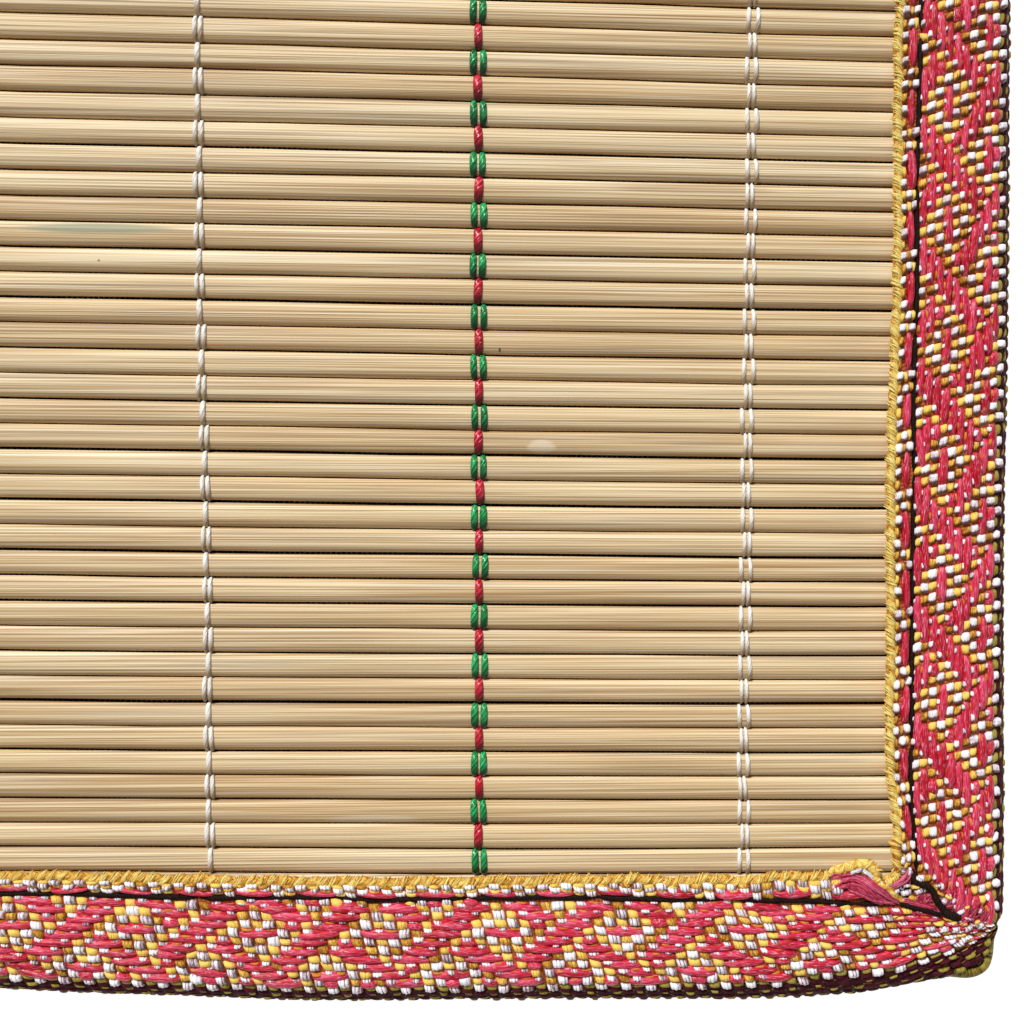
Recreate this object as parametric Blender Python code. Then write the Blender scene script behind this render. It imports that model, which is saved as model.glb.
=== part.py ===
"""A bamboo mat: split bamboo slats on a dark backing cloth, bound with one ribbon folded over all four edges.

Metres, +Z up. The slats run along X. The origin is under the middle of the mat, on the surface that it lies on.
"""

import math
import random
from collections import namedtuple

import bmesh
import bpy
from mathutils import Vector

MM = 0.001

# The slats, side by side along Y
SLAT_COUNT = 120
SLAT_PITCH = 2.5 * MM
SLAT_LENGTH = 426.2 * MM
SLAT_THICKNESS = 1.2 * MM

# The outer edge of the binding where it runs straight
MAT_LENGTH = 434.0 * MM
MAT_WIDTH = 307.0 * MM

# The ribbon: 25 mm of it, about half on the face and the rest over the edge and underneath
TAPE_FACE = 13.0 * MM
TAPE_THICKNESS = 1.0 * MM
CORNER_RADIUS = 2.2 * MM
INNER_CORNER_RADIUS = 0.25 * MM

BACKING_THICKNESS = 1.0 * MM
BACKING_INSET = 3.9 * MM
BACKING_CORNER = 2.0 * MM
GAP = 0.3 * MM

# Heights of the layers, from the surface up
BACKING_BOTTOM = TAPE_THICKNESS + GAP
SLAT_BOTTOM = BACKING_BOTTOM + BACKING_THICKNESS + GAP
SLAT_TOP = SLAT_BOTTOM + SLAT_THICKNESS

# One slat in section: how far across it and how high, as shares of its pitch and thickness
RibPoint = namedtuple("RibPoint", "across height")
RIB = (
    RibPoint(0.00, 0.40),
    RibPoint(0.06, 0.80),
    RibPoint(0.22, 1.00),
    RibPoint(0.78, 1.00),
    RibPoint(0.94, 0.80),
)
PANEL_STATIONS = 5
SLAT_HEIGHT_SPREAD = 0.05
SLAT_EDGE_SPREAD = 0.05 * MM
SEED = 11

# The ribbon in section, in mm: how far in from its outer edge, and how high. It starts at the edge that is
# turned under, goes round the outer edge and over the crown to the groove of the seam and the gold inner edge
TapePoint = namedtuple("TapePoint", "across height")
TAPE_OUTSIDE = (
    TapePoint(8.6, 0.0),
    TapePoint(2.5, 0.0),
    TapePoint(1.0, 0.4),
    TapePoint(0.25, 1.15),
    TapePoint(0.0, 2.3),
    TapePoint(0.2, 3.4),
    TapePoint(0.8, 4.4),
    TapePoint(2.0, 5.05),
    TapePoint(4.0, 5.4),
    TapePoint(6.6, 5.4),
    TapePoint(8.8, 5.15),
    TapePoint(9.9, 4.9),
    TapePoint(10.45, 4.75),
    TapePoint(11.0, 4.88),
    TapePoint(11.8, 5.05),
    TapePoint(12.7, 4.98),
    TapePoint(13.0, 4.6),
)
OVER_SLATS = (SLAT_TOP + GAP) / MM
OVER_FLOOR = TAPE_THICKNESS / MM
TAPE_INSIDE = (
    TapePoint(12.7, OVER_SLATS),
    TapePoint(2.9, OVER_SLATS),
    TapePoint(1.8, 3.95),
    TapePoint(1.15, 3.3),
    TapePoint(1.0, 2.3),
    TapePoint(1.2, 1.4),
    TapePoint(2.4, OVER_FLOOR),
    TapePoint(8.6, OVER_FLOOR),
)

# How the outer edge wanders, in mm, a row for each side, anticlockwise from above: the bulge's size, wavelength
# and crest, and how far and over what length the corner at either end is drawn in
OuterEdge = namedtuple("OuterEdge", "size wave crest draw_start reach_start draw_end reach_end")
OUTER_EDGE = {
    "front": OuterEdge(0.9, 160.0, 403.0, 0.5, 6.0, 1.6, 10.0),
    "right": OuterEdge(0.9, 280.0, 0.0, 1.3, 3.6, 1.4, 9.0),
    "back": OuterEdge(0.7, 190.0, 60.0, 1.4, 7.0, 0.8, 8.0),
    "left": OuterEdge(0.6, 150.0, 90.0, 0.9, 10.0, 0.8, 6.0),
}
# Local swells of the outer edge: which side, how far out, where along the side and how long
Hump = namedtuple("Hump", "side size at reach")
HUMPS = (
    Hump("front", -0.55, 330.0, 9.0),
    Hump("front", 0.30, 363.0, 9.0),
    Hump("front", -0.25, 394.0, 13.0),
    Hump("right", -0.40, 41.0, 20.0),
)
# How the inner edge wanders, towards the middle: its mean place, the wave, and the pinch at either corner
InnerEdge = namedtuple("InnerEdge", "mean size wave crest pinch_start pinch_end")
INNER_EDGE = {
    "front": InnerEdge(0.9, 0.55, 110.0, 329.0, 0.6, 0.0),
    "right": InnerEdge(0.0, 0.15, 45.0, 0.0, 1.7, 0.4),
    "back": InnerEdge(0.5, 0.35, 120.0, 70.0, 0.5, 0.8),
    "left": InnerEdge(0.3, 0.30, 90.0, 20.0, 0.9, 0.4),
}
PINCH_REACH = 9.0

# Where the ribbon's sections stand along a side: near each corner, in mm from it, and evenly between
NEAR_CORNER = (3.0, 7.0, 12.0, 19.0)
EVEN_SPACING = 15.0
CORNER_STEPS = 4


def clear_scene():
    for obj in list(bpy.data.objects):
        bpy.data.objects.remove(obj, do_unlink=True)


def material(name, colour, roughness):
    made = bpy.data.materials.new(name)
    made.use_nodes = True
    shader = made.node_tree.nodes["Principled BSDF"]
    shader.inputs["Base Color"].default_value = (*colour, 1.0)
    shader.inputs["Roughness"].default_value = roughness
    shader.inputs["Metallic"].default_value = 0.0
    return made


def finish_mesh(name, bm, collection, finish):
    """Turns a bmesh into the named object with its faces pointing out."""
    bmesh.ops.recalc_face_normals(bm, faces=bm.faces)
    mesh = bpy.data.meshes.new(name)
    bm.to_mesh(mesh)
    bm.free()
    mesh.materials.append(finish)
    obj = bpy.data.objects.new(name, mesh)
    collection.objects.link(obj)
    return obj


def quads_between(bm, first, second, closed):
    """Joins two rows of points with four-sided faces."""
    count = len(first) if closed else len(first) - 1
    for i in range(count):
        j = (i + 1) % len(first)
        bm.faces.new((first[i], first[j], second[j], second[i]))


def slat_panel(collection):
    """The slats as one solid: ribs side by side, each a little uneven in height and in where its edges run."""
    rng = random.Random(SEED)
    bm = bmesh.new()
    tops, bottoms = [], []
    width = SLAT_COUNT * SLAT_PITCH
    for station in range(PANEL_STATIONS):
        x = SLAT_LENGTH * (station / (PANEL_STATIONS - 1) - 0.5)
        grooves = [SLAT_PITCH * i - width / 2 for i in range(SLAT_COUNT + 1)]
        for i in range(1, SLAT_COUNT):
            grooves[i] += rng.uniform(-1, 1) * SLAT_EDGE_SPREAD
        top = []
        for near, far in zip(grooves, grooves[1:]):
            sink = rng.uniform(0, SLAT_HEIGHT_SPREAD)
            for point in RIB:
                y = near + (far - near) * point.across
                z = SLAT_BOTTOM + SLAT_THICKNESS * point.height * (1 - sink)
                top.append(bm.verts.new((x, y, z)))
        top.append(bm.verts.new((x, grooves[-1], SLAT_BOTTOM + SLAT_THICKNESS * RIB[0].height)))
        tops.append(top)
        bottoms.append([bm.verts.new((x, y, SLAT_BOTTOM)) for y in grooves])
    for rows in (tops, bottoms):
        for first, second in zip(rows, rows[1:]):
            quads_between(bm, first, second, closed=False)
    for edge in (0, -1):
        side = [(top[edge], bottom[edge]) for top, bottom in zip(tops, bottoms)]
        for first, second in zip(side, side[1:]):
            bm.faces.new((*first, second[1], second[0]))
    points = len(RIB)
    for top, bottom in ((tops[0], bottoms[0]), (tops[-1], bottoms[-1])):
        for i in range(SLAT_COUNT):
            rib = top[i * points : (i + 1) * points + 1]
            bm.faces.new((bottom[i], *rib, bottom[i + 1]))
    return finish_mesh("slat_panel", bm, collection, material("bamboo", (0.72, 0.55, 0.31), 0.5))


def backing_cloth(collection):
    """The cloth behind the slats: a flat outline with rounded corners."""
    half_x = MAT_LENGTH / 2 - BACKING_INSET
    half_y = MAT_WIDTH / 2 - BACKING_INSET
    outline = []
    for i, (sx, sy) in enumerate(((1, 1), (-1, 1), (-1, -1), (1, -1))):
        centre = Vector((sx * (half_x - BACKING_CORNER), sy * (half_y - BACKING_CORNER), 0))
        for step in range(CORNER_STEPS + 1):
            angle = math.pi / 2 * (i + step / CORNER_STEPS)
            outline.append(centre + BACKING_CORNER * Vector((math.cos(angle), math.sin(angle), 0)))
    curve = bpy.data.curves.new("backing_cloth", "CURVE")
    curve.dimensions = "2D"
    curve.fill_mode = "BOTH"
    curve.extrude = BACKING_THICKNESS / 2
    spline = curve.splines.new("POLY")
    spline.points.add(len(outline) - 1)
    for point, place in zip(spline.points, outline):
        point.co = (*place, 1.0)
    spline.use_cyclic_u = True
    curve.materials.append(material("dark backing", (0.03, 0.012, 0.016), 0.9))
    obj = bpy.data.objects.new("backing_cloth", curve)
    obj.location.z = BACKING_BOTTOM + BACKING_THICKNESS / 2
    collection.objects.link(obj)
    return obj


class Side:
    """One side of the binding: where it starts, which way it runs, and how its two edges wander."""

    def __init__(self, name, start, along, inward, length):
        self.start, self.along, self.inward, self.length = start, along, inward, length
        self.outer, self.inner = OUTER_EDGE[name], INNER_EDGE[name]
        self.humps = [hump for hump in HUMPS if hump.side == name]

    def bulge(self, at):
        """How far out the outer edge stands, at a distance along the side."""
        edge, here, left = self.outer, at / MM, (self.length - at) / MM
        wave = edge.size * math.cos(math.tau * (here - edge.crest) / edge.wave)
        wave += sum(hump.size * math.exp(-(((here - hump.at) / hump.reach) ** 2)) for hump in self.humps)
        drawn = edge.draw_start * math.exp(-((here / edge.reach_start) ** 4))
        drawn += edge.draw_end * math.exp(-((left / edge.reach_end) ** 2))
        return (wave - drawn) * MM

    def lean(self, at):
        """How far towards the middle the inner edge stands."""
        edge, here, left = self.inner, at / MM, (self.length - at) / MM
        wave = edge.mean + edge.size * math.cos(math.tau * (here - edge.crest) / edge.wave)
        pinch = edge.pinch_start * math.exp(-((here / PINCH_REACH) ** 2))
        pinch += edge.pinch_end * math.exp(-((left / PINCH_REACH) ** 2))
        return (wave - pinch) * MM

    def inset(self, at, across):
        """The distance inward of the ribbon's point that lies across from its outer edge."""
        share = across / TAPE_FACE
        return across - self.bulge(at) * (1 - share) + self.lean(at) * share


def sides():
    x, y = MAT_LENGTH / 2, MAT_WIDTH / 2
    rows = (
        ("front", (-x, -y), (1, 0), (0, 1), MAT_LENGTH),
        ("right", (x, -y), (0, 1), (-1, 0), MAT_WIDTH),
        ("back", (x, y), (-1, 0), (0, -1), MAT_LENGTH),
        ("left", (-x, y), (0, -1), (1, 0), MAT_WIDTH),
    )
    return [
        Side(name, Vector(start), Vector(along), Vector(inward), length)
        for name, start, along, inward, length in rows
    ]


def stations_of(side):
    """The shares along a side at which the ribbon's section is drawn."""
    near = [0.0] + [d * MM / side.length for d in NEAR_CORNER]
    count = max(1, round((1 - 2 * near[-1]) * side.length / (EVEN_SPACING * MM)))
    even = [near[-1] + (1 - 2 * near[-1]) * i / count for i in range(1, count)]
    return near + even + [1 - share for share in reversed(near)]


def binding_tape(collection):
    """The ribbon as a closed ring: its section carried round the mat, rounded outside and mitred inside."""
    bm = bmesh.new()
    ring = sides()
    section = [(point.across * MM, point.height * MM) for point in (*TAPE_OUTSIDE, *TAPE_INSIDE)]
    rows = []
    for i, side in enumerate(ring):
        before, after = ring[i - 1], ring[(i + 1) % len(ring)]

        def place(along, inward, height, side=side):
            return (*(side.start + side.along * along + side.inward * inward), height)

        def bounds(across, side=side, before=before, after=after):
            """The corner radius at this inset, and where the straight run starts and ends."""
            radius = max(CORNER_RADIUS - across, INNER_CORNER_RADIUS)
            first = before.inset(before.length, across) + radius
            last = side.length - after.inset(0.0, across) - radius
            return radius, first, last

        for share in stations_of(side):
            row = []
            for across, height in section:
                _, first, last = bounds(across)
                inward = side.inset(share * side.length, across)
                row.append(bm.verts.new(place(first + share * (last - first), inward, height)))
            rows.append(row)
        for step in range(1, CORNER_STEPS):
            angle = math.pi / 2 * step / CORNER_STEPS
            row = []
            for across, height in section:
                radius, _, last = bounds(across)
                along = last + radius * math.sin(angle)
                inward = side.inset(side.length, across) + radius * (1 - math.cos(angle))
                row.append(bm.verts.new(place(along, inward, height)))
            rows.append(row)
    for first, second in zip(rows, rows[1:] + rows[:1]):
        quads_between(bm, first, second, closed=True)
    return finish_mesh("binding_tape", bm, collection, material("pink and gold ribbon", (0.62, 0.14, 0.17), 0.45))


def main():
    clear_scene()
    collection = bpy.data.collections.new("bamboo_mat")
    bpy.context.scene.collection.children.link(collection)
    slat_panel(collection)
    backing_cloth(collection)
    binding_tape(collection)


main()
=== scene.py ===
# A bamboo place mat: split slats tied with threads on a dark cloth, bound with a folded jacquard ribbon.
import math
from collections import namedtuple

import bpy
import numpy as np
from mathutils import Matrix, Vector


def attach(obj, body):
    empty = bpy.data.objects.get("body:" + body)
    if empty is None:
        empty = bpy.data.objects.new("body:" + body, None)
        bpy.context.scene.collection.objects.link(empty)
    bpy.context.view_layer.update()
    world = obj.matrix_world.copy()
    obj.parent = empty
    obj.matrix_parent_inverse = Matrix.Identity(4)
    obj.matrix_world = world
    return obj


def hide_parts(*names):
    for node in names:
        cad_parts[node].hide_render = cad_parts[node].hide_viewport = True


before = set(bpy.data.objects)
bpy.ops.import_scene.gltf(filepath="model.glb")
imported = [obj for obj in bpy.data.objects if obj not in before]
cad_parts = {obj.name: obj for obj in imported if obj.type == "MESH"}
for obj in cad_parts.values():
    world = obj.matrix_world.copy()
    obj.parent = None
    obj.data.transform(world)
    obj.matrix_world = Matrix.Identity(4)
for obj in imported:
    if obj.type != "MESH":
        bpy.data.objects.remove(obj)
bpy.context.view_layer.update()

# Lengths are in millimetres unless a comment says metres, and become metres when a mesh is made
MM = 0.001
SEED = 5
chance = np.random.default_rng(SEED)


# Materials

class Reading:
    """One output of a node. Arithmetic on it adds Math nodes."""

    def __init__(self, finish, socket):
        self.finish, self.socket = finish, socket

    def __add__(self, other):
        return self.finish.maths("ADD", self, other)

    __radd__ = __add__

    def __sub__(self, other):
        return self.finish.maths("SUBTRACT", self, other)

    def __rsub__(self, other):
        return self.finish.maths("SUBTRACT", other, self)

    def __mul__(self, other):
        return self.finish.maths("MULTIPLY", self, other)

    __rmul__ = __mul__

    def __truediv__(self, other):
        return self.finish.maths("DIVIDE", self, other)


class Finish:
    """A procedural material, with its shader and the nodes that feed it."""

    def __init__(self, name, roughness, shine=0.5):
        self.material = bpy.data.materials.new(name)
        self.material.use_nodes = True
        self.tree = self.material.node_tree
        self.shader = self.tree.nodes["Principled BSDF"]
        self.shader.inputs["Roughness"].default_value = roughness
        self.shader.inputs["Specular IOR Level"].default_value = shine

    def node(self, kind, settings=(), inputs=(), output=0):
        """Adds a node: its settings first, then a value or a link for each socket named."""
        made = self.tree.nodes.new("ShaderNode" + kind)
        for name, setting in dict(settings).items():
            if name == "stops":
                ramp = made.color_ramp.elements
                while len(ramp) < len(setting):
                    ramp.new(1.0)
                for stop, (place, colour) in zip(ramp, setting):
                    stop.position, stop.color = place, (*colour, 1.0)
            else:
                setattr(made, name, setting)
        for name, value in dict(inputs).items():
            self.feed(made.inputs[name], value)
        return Reading(self, made.outputs[output])

    def feed(self, socket, value):
        if isinstance(value, Reading):
            self.tree.links.new(value.socket, socket)
        else:
            socket.default_value = value

    def set(self, **sockets):
        for name, value in sockets.items():
            self.feed(self.shader.inputs[name.replace("_", " ")], value)

    def maths(self, operation, first, second=0.0):
        return self.node("Math", {"operation": operation}, {0: first, 1: second})

    def mark(self, name):
        """A number that the mesh carries at its points."""
        return self.node("Attribute", {"attribute_name": name}, output="Fac")

    def vector(self, x, y, z):
        return self.node("CombineXYZ", (), {0: x, 1: y, 2: z})

    def place(self):
        """Where a point lies, in metres: as one vector, and its x and its y."""
        whole = self.node("TexCoord", output="Object")
        x = self.node("SeparateXYZ", (), {0: whole})
        return whole, x, Reading(self, x.socket.node.outputs["Y"])

    def noise(self, vector, scale=1.0, detail=2.0, roughness=0.5):
        sockets = {"Vector": vector, "Scale": scale, "Detail": detail, "Roughness": roughness}
        return self.node("TexNoise", (), sockets)

    def rise(self, value, low, high):
        """0 below low, 1 above high and a smooth step between."""
        settings = {"interpolation_type": "SMOOTHSTEP"}
        return self.node("MapRange", settings, {"Value": value, "From Min": low, "From Max": high})

    def wave(self, value):
        """A cosine from 0 to 1 that repeats each time the value grows by 1."""
        return self.maths("COSINE", value * math.tau) * 0.5 + 0.5

    def ramp(self, value, *stops):
        return self.node("ValToRGB", {"stops": stops}, {"Fac": value})

    def mix(self, share, first, second, blend="MIX"):
        first, second = ((*c, 1.0) if isinstance(c, tuple) else c for c in (first, second))
        settings = {"data_type": "RGBA", "blend_type": blend}
        return self.node("Mix", settings, {0: share, 6: first, 7: second}, output=2)

    def bump(self, height, distance, strength):
        sockets = {"Strength": strength, "Distance": distance * MM, "Height": height}
        return self.node("Bump", (), sockets)


def tint(red, green, blue):
    """A colour as seen, 0 to 255, as the linear one that a shader takes."""
    seen = (red / 255, green / 255, blue / 255)
    return tuple(c / 12.92 if c <= 0.04045 else ((c + 0.055) / 1.055) ** 2.4 for c in seen)


# Marks on the slats in the photograph: a green-grey and a brown stain, two dark flecks
# and two rubbed places
Stain = namedtuple("Stain", "x y half_x half_y strength colour")
STAINS = (
    Stain(125.2, -75.7, 7.8, 0.55, 0.85, tint(154, 156, 124)),
    Stain(164.8, -87.15, 0.13, 0.26, 0.95, tint(44, 26, 18)),
    Stain(125.4, -78.8, 0.16, 0.12, 0.75, tint(104, 70, 52)),
    Stain(169.0, -96.8, 1.5, 0.75, 0.50, tint(252, 238, 210)),
    Stain(184.4, -71.0, 9.0, 0.40, 0.40, tint(150, 112, 78)),
    Stain(152.0, -134.8, 5.0, 0.60, 0.35, tint(250, 236, 208)),
)
# How far the grain frays their outline
STAIN_RAGGED = 1.6


def bamboo_finish():
    """Split bamboo: long fine grain in cream, tan and brown, each slat's own, with painted shade that browns
    its near edge.
    """
    finish = Finish("split bamboo", 0.5)
    _, x, y = finish.place()
    tone, across = finish.mark("tone"), finish.mark("across")
    own = tone * 57.0

    def grain(long, fine, detail):
        """Noise drawn out along the slat: long is the length and fine the width of a streak, in mm."""
        drawn = finish.vector(x * (1 / MM / long), y * (1 / MM / fine), own)
        return finish.noise(drawn, 1.0, detail, 0.6)

    body = grain(34.0, 0.75, 2.0)
    fibres = grain(24.0, 0.12, 1.0)
    lines = grain(80.0, 0.14, 1.0)
    streaks = grain(52.0, 0.34, 1.0)
    grey = grain(30.0, 0.50, 1.0)
    colour = finish.ramp(
        body * 0.65 + tone * 0.35,
        (0.28, tint(208, 172, 118)),
        (0.45, tint(228, 195, 142)),
        (0.60, tint(240, 212, 162)),
        (0.78, tint(248, 228, 188)),
    )
    # Grain over the body colour: where each starts and is full, how strong it is and its colour
    grains = (
        (streaks, 0.52, 0.70, 0.55, tint(204, 156, 98)),
        (grey, 0.56, 0.74, 0.60, tint(178, 162, 138)),
        (lines, 0.47, 0.66, 0.62, tint(146, 110, 70)),
        (1 - lines, 0.50, 0.68, 0.50, tint(255, 238, 204)),
        (fibres, 0.50, 0.70, 0.45, tint(140, 104, 64)),
        (1 - fibres, 0.50, 0.70, 0.45, tint(255, 242, 212)),
    )
    for mask, low, high, strength, shade in grains:
        colour = finish.mix(finish.rise(mask, low, high) * strength, colour, shade)
    for stain in STAINS:
        off_x = (x * (1 / MM) - stain.x) / stain.half_x
        off_y = (y * (1 / MM) - stain.y) / stain.half_y
        off = off_x * off_x + off_y * off_y + (streaks - 0.5) * STAIN_RAGGED
        colour = finish.mix((1 - finish.rise(off, 0.4, 1.2)) * stain.strength, colour, stain.colour)
    # Painted shade: each slat's near edge, which faces away from the sun, is mixed towards brown
    near_edge_shade = 1 - finish.rise(across, -0.95, -0.20)
    colour = finish.mix(near_edge_shade * 0.50, colour, tint(160, 126, 84))
    relief = fibres * 0.5 + lines * 0.5
    finish.set(Base_Color=colour, Roughness=0.42 + fibres * 0.25, Normal=finish.bump(relief, 0.09, 0.8))
    return finish


# Strands that wind round a twisted yarn
YARN_STRANDS = 4.0


def yarn_finish(name, dark, mid, light, twist, roughness, shade_foot=None, shine=0.5, own=0.12):
    """Twisted yarn: filaments wind round it in three depths of colour; foot, when given, is a colour painted
    as shade over the near end, where it starts.
    """
    finish = Finish(name, roughness, shine)
    along, round_it, tone = finish.mark("along"), finish.mark("round"), finish.mark("tone")
    wound = round_it * YARN_STRANDS - along * twist + tone * 3.0
    strand = finish.wave(wound)
    fibre = finish.noise(finish.vector(wound * 3.2, along * 0.9, tone * 40.0), 1.0)
    depth = strand * 0.16 + fibre * 1.10 - 0.13 + (tone - 0.5) * own
    colour = finish.ramp(depth, (0.25, tint(*dark)), (0.50, tint(*mid)), (0.72, tint(*light)))
    # Painted shade: the near end of each stitch, which turns down away from the light, takes the foot colour
    if shade_foot:
        low = 1 - finish.rise(finish.mark("climb"), 0.28, 0.60)
        colour = finish.mix(low * 0.92, colour, tint(*shade_foot))
    finish.set(Base_Color=colour, Normal=finish.bump(strand * 0.25 + fibre * 0.9, 0.10, 0.9))
    return finish


def bead_finish(name, dark, mid, light, lobes, roughness, shine=0.5, squeezed=None, shaded=0.0, own=0.25):
    """Yarn that shows for one pick, in filaments across the pick or, where upright is 0, along it.

    lobes is how many strands lie side by side in it, squeezed its colour between floats, shaded how dark the
    painted shade at its start end is where upright is 0, and own how far one differs from the next. Its rims,
    the grooves between its strands and, where upright is 1, its far end are darkened as painted shade.
    """
    finish = Finish(name, roughness, shine)
    along, across, tone, upright = (finish.mark(mark) for mark in ("along", "across", "tone", "upright"))
    fine = along * upright + across * (1 - upright)
    coarse = across * upright + along * (1 - upright)
    fibre = finish.noise(finish.vector(fine * 5.0 + tone * 31.0, coarse * 1.1, tone * 17.0), 1.0, 3.0)
    oblique = finish.vector(fine * 4.0 + coarse * 2.0, coarse * 3.0 - fine * 2.0, tone * 29.0)
    grains = finish.noise(oblique, 1.6)
    to_end, to_side = finish.maths("ABSOLUTE", along), finish.maths("ABSOLUTE", across)
    # Painted shade: each is darkened at its rim, where it dips into the ribbon
    rim = finish.rise(to_end, 0.70, 1.0) + finish.rise(to_side, 0.62, 1.0)
    depth = fibre * 1.15 + grains * 0.45 + tone * own - rim * 0.34 - (0.245 + own / 2)
    # Painted shade: where upright is 0, the start end of each is darkened by shaded
    depth = depth - (1 - finish.rise(along, -0.75, 0.05)) * (1 - upright) * shaded
    if lobes > 1:
        place = (along + 1) * (lobes / 2)
        groove = finish.rise(finish.wave(place), 0.62, 0.96) * (1 - finish.rise(to_end, 0.8, 0.9))
        strand = finish.noise(finish.vector(finish.maths("FLOOR", place) * 3.7, tone * 47.0, 0.5), 1.0, 0.0)
        turned = finish.rise(along, -0.6, 1.0)
        # Painted shade: darker in the grooves between strands and towards the far end; strand gives each
        # strand its own tone
        darker = groove * 0.26 + finish.rise(strand, 0.52, 0.66) * 0.24 + turned * 0.22 - 0.06
        depth = depth - darker * upright
    colour = finish.ramp(depth, (0.05, tint(*dark)), (0.33, tint(*mid)), (0.60, tint(*light)))
    if squeezed:
        colour = finish.mix(finish.mark("squeezed") * 0.75, colour, tint(*squeezed))
    finish.set(Base_Color=colour, Normal=finish.bump(fibre * 0.6 + grains * 0.4, 0.09, 0.9))
    return finish


def float_finish():
    """Pink silk-like floats: streaks along them, lilac pink where they rise and crimson in the dips, where
    painted shade darkens their sides, with pale lilac glints painted on as highlights.
    """
    finish = Finish("pink float", 0.34, 0.4)
    along, across, tone = finish.mark("along"), finish.mark("across"), finish.mark("tone")
    drawn = finish.vector(along * 1.6 + tone * 23.0, across * 5.0 + along * 0.8, tone * 19.0)
    streak = finish.noise(drawn, 1.0, 3.0)
    painted_glint = finish.noise(finish.vector(along * 3.2 + tone * 7.0, across * 7.0 - along * 1.5, tone * 43.0))
    # Painted shade: each float darkens towards its sides
    edge = finish.rise(finish.maths("ABSOLUTE", across), 0.45, 1.0)
    depth = streak * 1.30 + tone * 0.20 - edge * 0.08 - 0.27
    colour = finish.ramp(
        depth,
        (0.12, tint(116, 2, 14)),
        (0.32, tint(186, 14, 34)),
        (0.52, tint(216, 38, 68)),
        (0.72, tint(236, 90, 124)),
    )
    # Painted highlight: pale lilac glints scattered over the floats
    colour = finish.mix(finish.rise(painted_glint, 0.57, 0.70) * 0.75, colour, tint(238, 176, 204))
    finish.set(Base_Color=colour, Normal=finish.bump(streak * 0.6 + painted_glint * 0.4, 0.12, 0.9))
    return finish


# How far out from the seam the ribbon's ground turns from brown to maroon and olive: there its pink and gold
# are painted dark as shade, where it turns over the edge
UNDER_FROM = (8.3, 8.8)


def ground_finish():
    """The ribbon's ground: fine wefts, brown on the face, partly painted shade between the yarns, paler where
    they show more, and painted dark as shade over the edge and underneath.
    """
    finish = Finish("ribbon ground", 0.8, 0.15)
    pick, row, reach = finish.mark("pick"), finish.mark("row"), finish.mark("reach")
    weft = finish.wave(pick * 3.0)
    cells = finish.wave(pick * 0.5 + finish.maths("FLOOR", row) * 0.5)
    dents = finish.wave(row)
    grain = finish.noise(finish.vector(pick * 5.0, row * 7.0, 0.0), 1.0)

    def wefts(dark, mid, light):
        depth = weft * 0.3 + grain * 0.8
        return finish.ramp(depth, (0.2, tint(*dark)), (0.5, tint(*mid)), (0.9, tint(*light)))

    # Partly painted shade: the face's crimson-brown is the weft's own colour, made dark and red to stand for
    # the shade between the yarns
    filled = wefts((112, 26, 20), (150, 66, 34), (190, 122, 56))
    bare = wefts((146, 30, 28), (190, 88, 52), (228, 156, 84))
    face = finish.mix(finish.rise(finish.mark("bare"), 0.0, 0.3), filled, bare)
    # Painted shade: maroon and olive stand for the border's pink and gold in shade where the ribbon turns
    # over the edge
    maroon = finish.mix(grain, tint(30, 6, 12), tint(72, 20, 32))
    olive = finish.mix(grain, tint(84, 72, 22), tint(140, 124, 50))
    under = finish.mix(finish.rise(cells * 0.6 + dents * 0.4, 0.72, 0.80), maroon, olive)
    colour = finish.mix(finish.rise(reach, *UNDER_FROM), face, under)
    relief = weft * 0.3 + dents * 0.4 + cells * 0.3
    finish.set(Base_Color=colour, Normal=finish.bump(relief, 0.12, 0.7))
    return finish


def backing_finish():
    """The dark cloth behind the slats, with a pale dot where each of its threads crosses, painted paler than
    the cloth's own so that it shows in the shade of the gaps.
    """
    finish = Finish("dark backing", 0.9)
    place, x, y = finish.place()
    warp, weft = finish.wave(x / (DOT_PITCH * MM)), finish.wave(y / (DOT_PITCH * MM))
    grain = finish.noise(place, 2500.0)
    pale = finish.rise(finish.noise(place, 60.0), 0.50, 0.66)
    # Painted light: the dots are made pale enough to show in the shade between the slats
    dot = finish.rise(warp * 0.7 + weft * 0.1 + grain * 0.35, 0.72, 0.95)
    colour = finish.mix(dot * (0.25 + pale * 0.75), tint(26, 13, 10), tint(160, 144, 122))
    finish.set(Base_Color=colour, Normal=finish.bump(warp * 0.5 + weft * 0.5, 0.15, 0.8))
    return finish


def floor_finish():
    """Pale paper, which glows a little so that it stays light all over."""
    finish = Finish("studio floor", 0.9)
    paper = finish.noise(finish.node("TexCoord", output="Object"), 60.0)
    finish.set(
        Base_Color=finish.mix(paper, (0.93, 0.93, 0.93), (0.96, 0.96, 0.96)),
        Emission_Color=finish.mix(paper, (0.98, 0.98, 0.98), (1.0, 1.0, 1.0)),
        Emission_Strength=FLOOR_GLOW,
    )
    return finish


# Meshes

def add_object(name, data):
    made = bpy.data.objects.new(name, data)
    bpy.context.collection.objects.link(made)
    return made


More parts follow.
